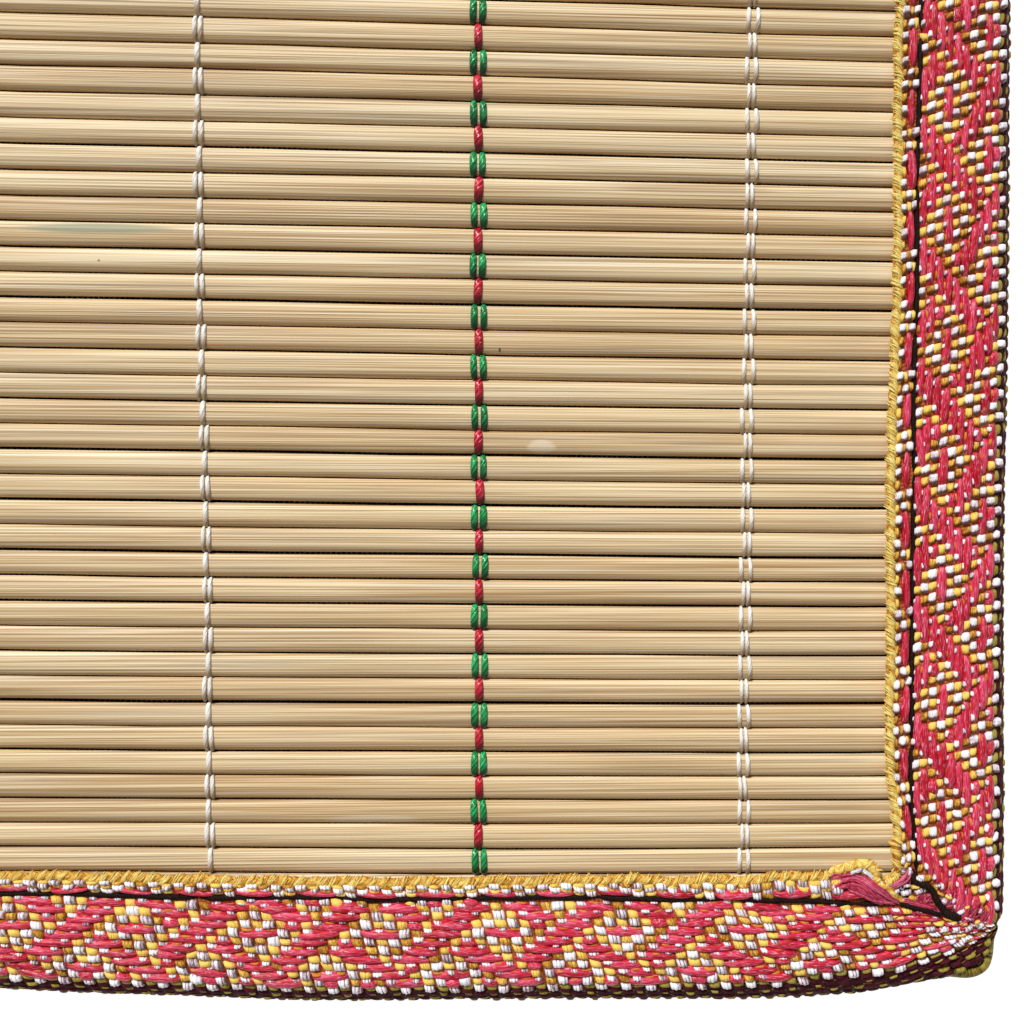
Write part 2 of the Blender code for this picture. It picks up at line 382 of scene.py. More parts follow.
class Pile:
    """Many small forms that become one mesh, with the marks that their points carry."""

    def __init__(self, *marks):
        self.points, self.faces, self.count = [], [], 0
        self.marks = {mark: [] for mark in marks}

    def add(self, points, faces, **marks):
        """Adds forms: points is forms by points by 3, a mark fits forms by points, faces are those of one."""
        forms, each = points.shape[:2]
        self.points.append(points.reshape(-1, 3))
        starts = self.count + each * np.arange(forms)
        self.faces.append((faces[None] + starts[:, None, None]).reshape(-1, 4))
        for mark, kept in self.marks.items():
            kept.append(np.broadcast_to(marks[mark], (forms, each)).ravel())
        self.count += forms * each

    def piece(self, name, finish, slot):
        """Makes the mesh, which rides on the mat."""
        points, faces = np.concatenate(self.points) * MM, np.concatenate(self.faces)
        mesh = bpy.data.meshes.new(name)
        mesh.vertices.add(len(points))
        mesh.vertices.foreach_set("co", points.ravel())
        mesh.loops.add(faces.size)
        mesh.loops.foreach_set("vertex_index", faces.ravel())
        mesh.polygons.add(len(faces))
        mesh.polygons.foreach_set("loop_start", np.arange(0, faces.size, 4))
        mesh.polygons.foreach_set("use_smooth", np.ones(len(faces), bool))
        for mark, kept in self.marks.items():
            held = mesh.attributes.new(mark, "FLOAT", "POINT")
            held.data.foreach_set("value", np.concatenate(kept))
        mesh.update()
        mesh.validate()
        mesh.materials.append(finish.material)
        piece = add_object(name, mesh)
        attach(piece, "root")
        return piece


def strips(long, wide):
    """The four-sided faces of a grid of long by wide cells."""
    index = np.arange((long + 1) * (wide + 1)).reshape(long + 1, wide + 1)
    corners = index[:-1, :-1], index[:-1, 1:], index[1:, 1:], index[1:, :-1]
    return np.stack(corners, -1).reshape(-1, 4)


# How sharply a tapered pillow narrows to its ends, and how deep the grooves between its bands are
TAPER_POWER, BAND_DEPTH = 2.5, 0.30


class Pillow:
    """The grid of a small pillow: along and across run from -1 to 1, and rise is its height there, 0 to 1."""

    def __init__(self, long, wide, bands=1, taper=0.0, square=2.4, square_across=2.2):
        lines = np.linspace(-1, 1, long + 1), np.linspace(-1, 1, wide + 1)
        along, across = np.meshgrid(*lines, indexing="ij")
        self.along, self.across, self.faces = along.ravel(), across.ravel(), strips(long, wide)
        self.spread = self.across * (1 - taper * np.abs(self.along) ** TAPER_POWER)
        self.rise = np.sqrt((1 - np.abs(self.along) ** square) * (1 - np.abs(self.across) ** square_across))
        if bands > 1:
            ridges = np.abs(np.cos(bands * math.pi / 2 * self.along))
            self.rise *= 1 - BAND_DEPTH + BAND_DEPTH * ridges


def closed_ends(stations, size):
    """The four-sided faces that close both ends of a run of rings; size, the points in a ring, is even."""
    i = np.arange(size // 2 - 1)
    near = np.stack((i, i + 1, size - 2 - i, size - 1 - i), -1)
    return np.concatenate((near, near[:, ::-1] + (stations - 1) * size))


def ring_faces(stations, size, closed=False):
    """Faces between rings that follow each other; closed joins the last ring to the first."""
    a = np.arange(stations if closed else stations - 1)[:, None] * size
    b = (a + size) % (stations * size)
    i = np.arange(size)[None]
    j = (i + 1) % size
    return np.stack((a + i, a + j, b + j, b + i), -1).reshape(-1, 4)


# The ribbon's run round the mat, as the frame has it

MAT_LENGTH, MAT_WIDTH = 434.0, 307.0
TAPE_FACE = 13.0
CORNER_RADIUS, INNER_CORNER_RADIUS = 2.2, 0.25
PINCH_REACH = 9.0
# Near the corner in the photograph the front's seam dips outward: where along it, how far,
# and over which width
DIP_AT, DIP_OUT = (382.0, 395.0, 404.0, 412.0, 416.5, 421.0), (0.0, 0.15, 0.42, 0.80, 1.30, 1.70)
DIP_ACROSS, DIP_SHARE = (3.0, 10.45, 12.7), (0.0, 1.0, 0.0)

# How the outer edges wander: a wave with its size, length and crest,
# and how far each end is drawn in, over what reach
OuterEdge = namedtuple("OuterEdge", "size wave crest draw_start reach_start draw_end reach_end")
OUTER_EDGE = {
    "front": OuterEdge(0.9, 160.0, 403.0, 0.5, 6.0, 1.6, 10.0),
    "right": OuterEdge(0.9, 280.0, 0.0, 1.3, 3.6, 1.4, 9.0),
    "back": OuterEdge(0.7, 190.0, 60.0, 1.4, 7.0, 0.8, 8.0),
    "left": OuterEdge(0.6, 150.0, 90.0, 0.9, 10.0, 0.8, 6.0),
}
# Local swells of the outer edge: which side, how far out, where along the side and how long
Hump = namedtuple("Hump", "side size at reach")
HUMPS = (
    Hump("front", -0.55, 330.0, 9.0),
    Hump("front", 0.30, 363.0, 9.0),
    Hump("front", -0.25, 394.0, 13.0),
    Hump("right", -0.40, 41.0, 20.0),
)
# How much farther in the inner edges lie than an even ribbon's: a mean, a wave, and less at the corners
InnerEdge = namedtuple("InnerEdge", "mean size wave crest pinch_start pinch_end")
INNER_EDGE = {
    "front": InnerEdge(0.9, 0.55, 110.0, 329.0, 0.6, 0.0),
    "right": InnerEdge(-0.16, 0.15, 45.0, 0.0, 1.7, 0.4),
    "back": InnerEdge(0.5, 0.35, 120.0, 70.0, 0.5, 0.8),
    "left": InnerEdge(0.3, 0.30, 90.0, 20.0, 0.9, 0.4),
}

# The ribbon in section, from its gold inner edge over the face and round to the edge turned under
SectionPoint = namedtuple("SectionPoint", "across height")
SECTION_POINTS = (
    SectionPoint(13.0, 4.6),
    SectionPoint(12.7, 4.98),
    SectionPoint(11.8, 5.05),
    SectionPoint(11.0, 4.88),
    SectionPoint(10.45, 4.75),
    SectionPoint(9.9, 4.9),
    SectionPoint(8.8, 5.15),
    SectionPoint(6.6, 5.4),
    SectionPoint(4.0, 5.4),
    SectionPoint(2.0, 5.05),
    SectionPoint(0.8, 4.4),
    SectionPoint(0.2, 3.4),
    SectionPoint(0.0, 2.3),
    SectionPoint(0.25, 1.15),
    SectionPoint(1.0, 0.4),
    SectionPoint(2.5, 0.0),
    SectionPoint(8.6, 0.0),
)
SEAM_ACROSS = 10.45


def smoothed(points, rounds):
    """Cuts the corners of a line of points, keeping its ends."""
    points = np.array(points)
    for _ in range(rounds):
        near = points[:-1] * 0.75 + points[1:] * 0.25
        far = points[:-1] * 0.25 + points[1:] * 0.75
        cut = np.stack((near, far), 1).reshape(-1, points.shape[1])
        points = np.concatenate((points[:1], cut, points[-1:]))
    return points


def run_of(line):
    """How far along a line each of its points lies."""
    return np.concatenate(([0.0], np.cumsum(np.linalg.norm(np.diff(line, axis=0), axis=1))))


SECTION = smoothed(SECTION_POINTS, 2)
RUN = run_of(SECTION)
FACE_POINTS = int(np.argmin(SECTION[:, 0]))
# How far each point of the section lies from the seam, outward along the cloth
REACH = RUN - np.interp(SEAM_ACROSS, SECTION[FACE_POINTS::-1, 0], RUN[FACE_POINTS::-1])
TANGENT = np.gradient(SECTION, RUN, axis=0)
TANGENT /= np.linalg.norm(TANGENT, axis=1)[:, None]
OUTWARD = np.stack((TANGENT[:, 1], -TANGENT[:, 0]), 1)


class Side:
    """One side of the binding, anticlockwise from above, and how its two edges wander."""

    def __init__(self, name, start, axis, inward, length):
        self.name, self.length = name, length
        self.start, self.axis, self.inward = np.array(start), np.array(axis), np.array(inward)
        self.outer, self.inner = OUTER_EDGE[name], INNER_EDGE[name]
        self.humps = [hump for hump in HUMPS if hump.side == name]

    def bulge(self, at):
        edge, left = self.outer, self.length - at
        drawn = edge.draw_start * np.exp(-((at / edge.reach_start) ** 4))
        drawn = drawn + edge.draw_end * np.exp(-((left / edge.reach_end) ** 2))
        for hump in self.humps:
            drawn = drawn - hump.size * np.exp(-(((at - hump.at) / hump.reach) ** 2))
        return edge.size * np.cos(math.tau * (at - edge.crest) / edge.wave) - drawn

    def lean(self, at):
        edge, left = self.inner, self.length - at
        pinch = edge.pinch_start * np.exp(-((at / PINCH_REACH) ** 2))
        pinch = pinch + edge.pinch_end * np.exp(-((left / PINCH_REACH) ** 2))
        return edge.mean + edge.size * np.cos(math.tau * (at - edge.crest) / edge.wave) - pinch

    def inset(self, at, across):
        share = across / TAPE_FACE
        inset = across - self.bulge(at) * (1 - share) + self.lean(at) * share
        if self.name == "front":
            inset = inset - np.interp(at, DIP_AT, DIP_OUT) * np.interp(across, DIP_ACROSS, DIP_SHARE)
        return inset

    def straight(self, across):
        """The corner radius at this inset, and where the side's straight run starts and ends."""
        radius = np.maximum(CORNER_RADIUS - across, INNER_CORNER_RADIUS)
        first = self.before.inset(self.before.length, across) + radius
        last = self.length - self.after.inset(0.0, across) - radius
        return radius, first, last

    def place(self, at, across, height):
        """The point at a distance along the side, or round its corner, as far in and as high as given."""
        radius, first, last = self.straight(across)
        inside = np.clip(at, first, last)
        turn = (at - inside) / radius
        share = (inside - first) / (last - first)
        inward = self.inset(share * self.length, across) + radius * (1 - np.cos(turn))
        along = inside + radius * np.sin(turn)
        flat = self.start + along[..., None] * self.axis + inward[..., None] * self.inward
        return np.concatenate((flat, np.broadcast_to(height, along.shape)[..., None]), -1)

    def holds(self, at, reach, spare=0.0):
        """Whether a place on the ribbon belongs to this side, up to the middle of its corners."""
        radius, first, last = self.straight(np.interp(reach, REACH, SECTION[:, 0]))
        turn = radius * math.pi / 4 - spare
        return (at > first - turn) & (at < last + turn)


def sides_round_mat():
    x, y = MAT_LENGTH / 2, MAT_WIDTH / 2
    ring = [
        Side("front", (-x, -y), (1, 0), (0, 1), MAT_LENGTH),
        Side("right", (x, -y), (0, 1), (-1, 0), MAT_WIDTH),
        Side("back", (x, y), (-1, 0), (0, -1), MAT_LENGTH),
        Side("left", (-x, y), (0, -1), (1, 0), MAT_WIDTH),
    ]
    for i, side in enumerate(ring):
        side.before, side.after = ring[i - 1], ring[(i + 1) % len(ring)]
    return ring


SIDES = sides_round_mat()
FRONT, RIGHT, BACK = SIDES[:3]


def on_ribbon(side, at, reach, lift):
    """A point on the ribbon: along the side, out from the seam along the cloth, and up from its surface."""
    at, reach, lift = np.broadcast_arrays(at, reach, lift)
    across = np.interp(reach, REACH, SECTION[:, 0]) + lift * np.interp(reach, REACH, OUTWARD[:, 0])
    height = np.interp(reach, REACH, SECTION[:, 1]) + lift * np.interp(reach, REACH, OUTWARD[:, 1])
    return side.place(at, across, height)


# Over the corner in the photograph the front's rows draw together: from where to where along it, the line
# that they run to, inward from the frame's edge, how near they come to it and how late
GATHER_START, GATHER_END, GATHER_LINE, GATHER_SHARE, GATHER_POWER = 418.0, 434.2, 7.75, 0.95, 2.0
# Over this length they leave the ribbon's own section and lie on top of both ribbons
GATHER_BLEND = 6.0
# The right side's rows stop there at a cut line, which is given in the mat's frame
CUT_X, CUT_Y = (204.4, 206.5, 209.2, 216.9), (-141.4, -142.3, -143.1, -146.1)
# The front's yarns keep this far inside the mat's outline there: their middles at the front and at the end,
# and all of each
OUTLINE_SPARE, END_SPARE, GATHER_SPARE = 0.45, 2.0, 0.12
TOP_ACROSS, TOP_HEIGHT = SECTION[FACE_POINTS::-1, 0], SECTION[FACE_POINTS::-1, 1]


def in_gather(side, at, reach, lift):
    """A point on the front's yarns where they draw together, on top of both ribbons."""
    at, reach, lift = np.broadcast_arrays(at, reach, lift)
    gone = np.clip((at - GATHER_START) / (GATHER_END - GATHER_START), 0, 1)
    flat = np.clip((at - GATHER_START) / GATHER_BLEND, 0, 1)
    across = np.interp(reach, REACH, SECTION[:, 0]) * (1 - flat) + (SEAM_ACROSS - reach) * flat
    _, first, last = side.straight(across)
    here = (np.minimum(at, side.length) - first) / (last - first) * side.length
    inward = side.inset(here, across)
    inward = inward + gone**GATHER_POWER * (GATHER_LINE - inward) * GATHER_SHARE
    from_front = inward + side.bulge(here)
    from_right = side.length - at + RIGHT.bulge(np.maximum(inward, 0.0))
    top = np.interp(np.minimum(from_front, from_right), TOP_ACROSS, TOP_HEIGHT)
    height = np.interp(reach, REACH, SECTION[:, 1]) * (1 - flat) + top * flat
    inward = inward + lift * np.interp(reach, REACH, OUTWARD[:, 0]) * (1 - flat)
    inward = np.maximum(inward, GATHER_SPARE - side.bulge(here))
    height = height + lift * (np.interp(reach, REACH, OUTWARD[:, 1]) * (1 - flat) + flat)
    place = side.start + at[..., None] * side.axis + inward[..., None] * side.inward
    return np.concatenate((place, height[..., None]), -1)


# How the ribbon's weave lies on each side: the pitch of its picks and rows, where the pattern starts along
# it, how far from the seam its first row, the rows inside the seam, the floats there and the gold cord at
# its edge lie, and how much of a pick its yarns fill; the ground's own weft shows in the rest
Weave = namedtuple("Weave", "pick row start first inner inner_float cord fill")
WEAVE = {
    "front": Weave(1.215, 0.80, 4.65, -0.15, (-0.50, -0.93, -1.32), -0.56, -1.86, 1.0),
    "right": Weave(1.2025, 0.84, -5.91, -0.38, (-0.42, -1.00, -1.58), -0.74, -2.18, 0.88),
    "back": Weave(1.21, 0.81, 0.3, -0.20, (-0.50, -0.98, -1.40), -0.52, -1.90, 1.0),
    "left": Weave(1.20, 0.81, 0.7, -0.30, (-0.46, -0.96, -1.42), -0.62, -2.05, 0.90),
}
# How the front's rows fan out towards the corner in the photograph: how far those near the seam and those
# farther out stray, along the side and outward; FAN_REACH is how far out from the seam these two lie
Fan = namedtuple("Fan", "at near_along near_out far_along far_out")
FAN_REACH = (1.4, 6.0)
FAN = (
    Fan(340.0, 0.0, -0.20, 0.0, -0.20),
    Fan(352.0, 0.0, 0.0, 0.0, 0.0),
    Fan(372.0, 0.0, 0.0, 0.0, 0.0),
    Fan(384.0, 0.25, -0.15, 0.25, -0.15),
    Fan(396.0, 0.47, -0.25, 0.58, -0.20),
    Fan(402.8, 0.63, -0.36, 0.93, -0.26),
    Fan(406.8, 0.73, -0.60, 1.13, -0.36),
    Fan(410.8, 0.55, -1.10, 1.35, -0.68),
    Fan(413.8, 0.52, -1.20, 1.42, -1.05),
    Fan(416.8, 0.56, -1.36, 1.68, -1.05),
    Fan(419.8, 0.52, -1.46, 1.68, -0.85),
    Fan(422.8, 0.55, -1.46, 1.55, -0.78),
    Fan(425.8, 0.62, -1.46, 1.70, -0.72),
    Fan(428.0, 0.7, -1.42, 1.8, -0.65),
    Fan(434.0, 0.8, -1.4, 1.9, -1.0),
)
# How the seam itself and the gold cord stray outward on the two sides in the photograph: where along the
# side, and how far the seam and the cord do
STRAYS = {
    "front": (
        (330.0, -0.10, 0.0), (352.0, -0.15, 0.0), (362.0, -0.33, 0.0), (369.0, -0.18, 0.0),
        (377.0, -0.30, 0.0), (393.0, -0.30, 0.05), (401.0, -0.20, 0.38), (407.0, -0.28, 0.30),
        (411.0, -0.32, 0.22), (413.0, -0.34, 0.18), (415.0, -0.28, 0.15), (417.0, -0.05, 0.20),
        (420.0, 0.06, 0.30),
    ),
    "right": (
        (13.0, 0.09, 0.0), (37.0, 0.10, 0.0), (41.0, 0.22, 0.0), (56.0, 0.20, 0.0),
        (62.0, 0.0, 0.0), (70.0, -0.10, 0.0), (78.0, -0.20, 0.0), (86.0, -0.05, 0.0),
        (90.0, 0.12, 0.0), (102.0, 0.12, 0.0), (112.0, 0.0, 0.0),
    ),
}
# Rows closer to the seam than this are under its thread, and those a little farther out
# are pushed aside by it
HIDDEN_BY_SEAM, BESIDE_SEAM = 0.05, 0.42
# How far each row is shifted along, for each mm outward
SLANT = 0.24
# From the corner in the photograph the yarns are finer for this far
FINE_REACH = 105.0
# Where the yarns inside the seam come loose: the front's end there, and the right side's start there
LOOSE_FRONT, LOOSE_RIGHT = 417.0, 14.4
# The pink floats just inside the seam: the first pick that one covers, how many it covers,
# and its shift in picks
INNER_FLOAT, INNER_FLOAT_LENGTH, INNER_FLOAT_SHIFT = 4, 3, 0.1


def fanned(at, reach):
    """How far a place in the front's rows strays, along the side and outward."""
    places, near_along, near_out, far_along, far_out = np.array(FAN).T
    share = (reach - FAN_REACH[0]) / (FAN_REACH[1] - FAN_REACH[0])
    along = np.interp(at, places, near_along) * (1 - share) + np.interp(at, places, far_along) * share
    return along, np.interp(at, places, near_out) * (1 - share) + np.interp(at, places, far_out) * share


def strayed(side, at, reach):
    """A reach inside the seam or on it, moved as the seam and the gold cord stray."""
    if side.name not in STRAYS:
        return np.broadcast_to(reach, np.shape(at)).astype(float)
    places, seam, cord = np.array(STRAYS[side.name]).T
    share = reach / WEAVE[side.name].cord
    return reach + np.interp(at, places, seam) * (1 - share) + np.interp(at, places, cord) * share


def cell_places(side, count, reach):
    """Where a row's picks lie along a side and how far from the seam, and which of them it leaves clear."""
    weave = WEAVE[side.name]
    at = weave.start + count * weave.pick + SLANT * reach
    level = np.full(len(at), reach)
    if side is FRONT:
        along, out = fanned(at, reach)
        level, at = level + out, at + along
    seam = strayed(side, at, 0.0)
    return at, np.maximum(level, seam + BESIDE_SEAM), level > seam + HIDDEN_BY_SEAM


def is_fine(side, at):
    """Whether a place along a side is near the corner in the photograph."""
    if side is FRONT:
        return at > side.length - FINE_REACH
    if side is RIGHT:
        return at < FINE_REACH
    return np.zeros(np.shape(at), bool)


# The bamboo

SLAT_COUNT, SLAT_PITCH, SLAT_LENGTH = 120, 2.5, 426.2
SLAT_MIDDLE, SLAT_CROWN, SLAT_BELLY = 3.1, 0.72, 0.5
SLAT_SHAPE = 2.7
WIDE_GAP, THIN_GAP = 0.21, 0.13
SLAT_STATIONS = 37
# Angles round a slat's section, from its far edge over the top to its near edge and back under it
SECTION_ANGLES = np.radians((0, 14, 32, 55, 78, 102, 125, 148, 166, 180, 235, 305))

# Chance in the slats: how far their edges wander, how much a gap may differ
# and how much lower a slat may be
EDGE_WANDER, GAP_RANGE, THINNER_RANGE = 0.028, (0.5, 1.45), (0.0, 0.10)

# How the lines between slats wander: all of them in a long wave, and some in a local swell
DRIFT_SIZE, DRIFT_WAVE, DRIFT_CREST = -0.42, 230.0, 205.0
# Both fade out towards the left end, over this length, and towards the far edge, over so many slats
DRIFT_FADE, DRIFT_FADE_SLATS = 120.0, 30.0
Swell = namedtuple("Swell", "size slat slat_reach x x_reach")
SWELLS = (
    Swell(-0.20, 10.0, 6.0, 160.0, 70.0),
    Swell(-0.16, 13.0, 6.0, 130.0, 18.0),
    Swell(-0.14, 5.0, 6.0, 208.0, 14.0),
    Swell(0.15, 28.0, 8.0, 200.0, 24.0),
    Swell(-0.26, 33.0, 9.0, 118.0, 16.0),
    Swell(0.12, 32.0, 9.0, 172.0, 20.0),
    Swell(-0.38, 4.0, 1.2, 172.0, 42.0),
)


def slat_drift(x, slat):
    """How far the line below a slat strays in Y."""
    held = np.clip((x + SLAT_LENGTH / 2) / DRIFT_FADE, 0, 1)
    held = held * np.clip((SLAT_COUNT - slat) / DRIFT_FADE_SLATS, 0, 1)
    stray = DRIFT_SIZE * np.cos(math.tau * (x - DRIFT_CREST) / DRIFT_WAVE)
    for swell in SWELLS:
        near = ((slat - swell.slat) / swell.slat_reach) ** 2 + ((x - swell.x) / swell.x_reach) ** 2
        stray = stray + swell.size * np.exp(-near)
    return stray * held


def gap_below(slat):
    """The slats lie in pairs: the gaps are wide and thin by turns."""
    return np.where(slat % 2 == 1, WIDE_GAP, THIN_GAP)


def slat_round(angles):
    """Where angles round a slat's section fall, as shares of its half width and of its height."""
    shares = np.cos(angles), np.sin(angles)
    return [np.sign(share) * np.abs(share) ** (2 / SLAT_SHAPE) for share in shares]


class Slats:
    """Where each slat's edges run, for its own mesh and for the threads over it."""

    def __init__(self):
        self.xs = np.linspace(-SLAT_LENGTH / 2, SLAT_LENGTH / 2, SLAT_STATIONS)
        self.wander = chance.normal(0, EDGE_WANDER, (SLAT_COUNT + 1, SLAT_STATIONS))
        self.gap_change = chance.uniform(*GAP_RANGE, SLAT_COUNT + 1)
        self.thinner = chance.uniform(*THINNER_RANGE, SLAT_COUNT)

    def line(self, slat, x):
        """The middle of the gap below a slat."""
        held = np.interp(x, self.xs, self.wander[slat])
        return SLAT_PITCH * (slat - SLAT_COUNT / 2) + slat_drift(x, slat) + held

    def span(self, slat, x):
        """The middle of a slat and half its width."""
        low = self.line(slat, x) + gap_below(slat) * self.gap_change[slat] / 2
        high = self.line(slat + 1, x) - gap_below(slat + 1) * self.gap_change[slat + 1] / 2
        return (low + high) / 2, (high - low) / 2

    def crown(self, slat):
        return SLAT_CROWN - self.thinner[slat]

    def mesh(self):
        pile = Pile("tone", "across")
        y_share, z_share = slat_round(SECTION_ANGLES)
        size = len(SECTION_ANGLES)
        faces = np.concatenate((ring_faces(SLAT_STATIONS, size), closed_ends(SLAT_STATIONS, size)))
        for slat in range(SLAT_COUNT):
            middle, half = self.span(slat, self.xs)
            points = np.empty((SLAT_STATIONS, size, 3))
            points[..., 0] = self.xs[:, None]
            points[..., 1] = middle[:, None] + half[:, None] * y_share
            points[..., 2] = SLAT_MIDDLE + np.where(z_share > 0, self.crown(slat), SLAT_BELLY) * z_share
            across = np.tile(y_share, SLAT_STATIONS)
            pile.add(points.reshape(1, -1, 3), faces, tone=chance.random(), across=across)
        return pile


# The threads that tie the slats, in columns

COLUMN_PITCH = 27.12
# Columns on each side of the middle one
COLUMNS = 7
# How far past a slat's widest line a thread goes down beside it,
# and how far beside and above the slat it lies
THREAD_DIVE, THREAD_ASIDE, THREAD_ABOVE = np.radians(24), 0.07, 0.10
THREAD_THICKNESS = 0.34
# At its ends a thread is thinner, and the two of a pair draw together
THREAD_THINNING, PAIR_DRAW = 0.32, 0.10
# Chance in a stitch: its lean and its shift, and how much its threads' offsets and widths differ
STITCH_LEAN, STITCH_SHIFT, OFFSET_RANGE, WIDTH_RANGE = 0.03, 0.04, (0.92, 1.08), (0.93, 1.07)
# The steps along a thread and the faces round it, from this column and up to this slat, and elsewhere
NEAR_COLUMN, NEAR_SLAT = 5, 44
NEAR_STEPS, FAR_STEPS = (12, 8), (5, 4)
# How far each thread of a stitch stands from the column's line, and its width
Stitch = namedtuple("Stitch", "offsets width")
SINGLE, PAIR = Stitch((0.0,), 0.54), Stitch((-0.29, 0.29), 0.44)
CLOSE_PAIR, WIDE_PAIR = Stitch((-0.26, 0.26), 0.40), Stitch((-0.48, 0.48), 0.46)
GREEN_PAIR, RED_SINGLE = Stitch((-0.48, 0.48), 0.70), Stitch((0.0,), 0.86)
# The slats at either edge of the mat whose stitches are under the ribbon
BARE_SLATS = 4
# Three columns stray near the corner in the photograph: where across the mat, and how far
COLUMN_STRAYS = {
    5: ((-105.0, -99.0, -93.0, -88.0), (0.0, -0.10, -0.30, -0.40)),
    6: ((-105.0, -60.0), (0.05, -0.12)),
    7: ((-141.0, -138.0, -135.0, -129.0), (0.42, 0.32, 0.20, 0.08)),
}


def stitch_of(column, slat):
    """The thread's colour and the stitch over a slat."""
    even = slat % 2 == 0
    if column % 2 == 0:
        return ("green", GREEN_PAIR) if even else ("red", RED_SINGLE)
    if column % 4 == 3:
        return "white", WIDE_PAIR if even else CLOSE_PAIR
    return "white", SINGLE if even else PAIR


def tube(pile, path, wide, thick, size, **marks):
    """A thread along a path, its section wide by thick; its seam lies underneath."""
    tangent = np.gradient(path, axis=0)
    side = np.cross((0.0, 0.0, 1.0), tangent)
    side /= np.linalg.norm(side, axis=1)[:, None]
    up = np.cross(tangent, side)
    up /= np.linalg.norm(up, axis=1)[:, None]
    turn = np.linspace(0, math.tau, size + 1) - math.pi / 2
    wide, thick = np.broadcast_to(wide, len(path)), np.broadcast_to(thick, len(path))
    ring = side[:, None] * (np.cos(turn)[None, :, None] * wide[:, None, None] / 2)
    ring = ring + up[:, None] * (np.sin(turn)[None, :, None] * thick[:, None, None] / 2)
    run = run_of(path)
    points = (path[:, None] + ring).reshape(1, -1, 3)
    given = {
        "along": np.repeat(run, size + 1),
        "round": np.tile(np.linspace(0, 1, size + 1), len(path)),
        "climb": np.repeat(run / run[-1], size + 1),
    }
    pile.add(points, strips(len(path) - 1, size), **given, **marks)


def tie_slats(slats):
    """All the stitches, one mesh for each colour of thread."""
    piles = {colour: Pile("along", "round", "climb", "tone") for colour in ("white", "green", "red")}
    for column in range(-COLUMNS, COLUMNS + 1):
        for slat in range(BARE_SLATS, SLAT_COUNT - BARE_SLATS):
            colour, stitch = stitch_of(column, slat)
            middle = COLUMN_PITCH * column
            if column in COLUMN_STRAYS:
                middle += np.interp(SLAT_PITCH * (slat + 0.5 - SLAT_COUNT / 2), *COLUMN_STRAYS[column])
            steps, size = NEAR_STEPS if column >= NEAR_COLUMN and slat < NEAR_SLAT else FAR_STEPS
            y_share, z_share = slat_round(np.linspace(-THREAD_DIVE, math.pi + THREAD_DIVE, steps + 1)[::-1])
            taper = 1 - THREAD_THINNING * np.abs(y_share) ** 4
            lean, shift = chance.normal(0, STITCH_LEAN), chance.normal(0, STITCH_SHIFT)
            for offset in stitch.offsets:
                x = middle + shift + offset * chance.uniform(*OFFSET_RANGE)
                y, half = slats.span(slat, np.array(x))
                width = stitch.width * chance.uniform(*WIDTH_RANGE)
                path = np.empty((steps + 1, 3))
                path[:, 0] = x + lean * y_share - offset * PAIR_DRAW * y_share**2
                path[:, 1] = y + y_share * (half + THREAD_ASIDE)
                path[:, 2] = SLAT_MIDDLE + z_share * (slats.crown(slat) + THREAD_ABOVE)
                thick = THREAD_THICKNESS * taper
                tube(piles[colour], path, width * taper, thick, size, tone=chance.random())
    return piles


# The weave of the ribbon

PATTERN_REPEAT = 10
# The pink floats of the diamond pattern, row by row from the seam outward: first pick and length of each
FLOATS = (
    ((0, 3), (5, 1), (8, 1)),
    ((1, 3), (7, 3)),
    ((2, 3), (6, 3)),
    ((3, 1), (5, 3)),
    ((9, 3), (4, 3)),
    ((3, 3), (7, 1)),
    ((2, 3), (6, 3)),
    ((1, 3), (7, 3)),
    ((8, 3), (2, 1)),
    ((9, 3), (4, 3)),
)
# Rows on the face outward from the seam, and all rows with the border and those that go over the edge
FACE_ROWS, ALL_ROWS = 11, 18

FINE_WHITE, PLAIN_WHITE = Pillow(10, 4, bands=3), Pillow(3, 2)
FINE_BEAD, PLAIN_BEAD = Pillow(5, 4), Pillow(3, 2)
EDGE_BEAD = Pillow(4, 3)
FINE_BLOCK = Pillow(6, 5, square=5.0, square_across=4.0)
FINE_FLOAT, PLAIN_FLOAT = Pillow(10, 5, taper=0.6, square=3.0), Pillow(5, 2, taper=0.6)
# How deep the rim of each lies in the ribbon
SUNK = 0.20

# What a form measures: how far outward from its row's line its middle lies, its half sizes and its height
Form = namedtuple("Form", "out long wide high")
BORDER_WHITE = Form(0.0, 0.58, 0.42, 0.60)
# Olive and maroon forms are gold and pink yarn, painted dark as shade where the ribbon turns over its edge
BORDER_SHADED_GOLD, BORDER_SHADED_PINK = Form(-0.12, 0.60, 0.32, 0.40), Form(0.30, 0.60, 0.30, 0.36)
EDGE_SHADED_GOLD, EDGE_SHADED_PINK = Form(0.0, 0.52, 0.21, 0.28), Form(0.06, 0.70, 0.46, 0.19)
INNER_WHITE, INNER_GOLD = Form(0.0, 0.58, 0.33, 0.64), Form(0.0, 0.62, 0.26, 0.42)
# On the face a form is squeezed where a pink float covers its pick: its measures in the open, under a
# float's first pick and under its others
Squeeze = namedtuple("Squeeze", "open first rest")
SQUEEZED_IN = Squeeze(0.0, 0.22, 0.30)
WHITE_LONG, WHITE_WIDE = Squeeze(0.61, 0.52, 0.40), Squeeze(0.48, 0.27, 0.19)
WHITE_HIGH = Squeeze(1.0, 1.0, 0.9)
GOLD_LONG, GOLD_WIDE, GOLD_HIGH = 0.60, Squeeze(0.44, 0.17, 0.17), Squeeze(0.50, 0.44, 0.44)
SQUEEZED = Squeeze(0.0, 1.0, 1.0)
# The height of the white forms on the front and back, where their ribs show, and on the other two sides
RIBBED_HIGH, BLOCK_HIGH = 0.70, 0.50
# A pink float: how much of a row it lies outward, how far it reaches over its neighbours in picks,
# its half width in rows and its height
FLOAT_OUT, FLOAT_OVER, FLOAT_WIDE, FLOAT_HIGH = 0.12, 0.22, 0.66, 0.58
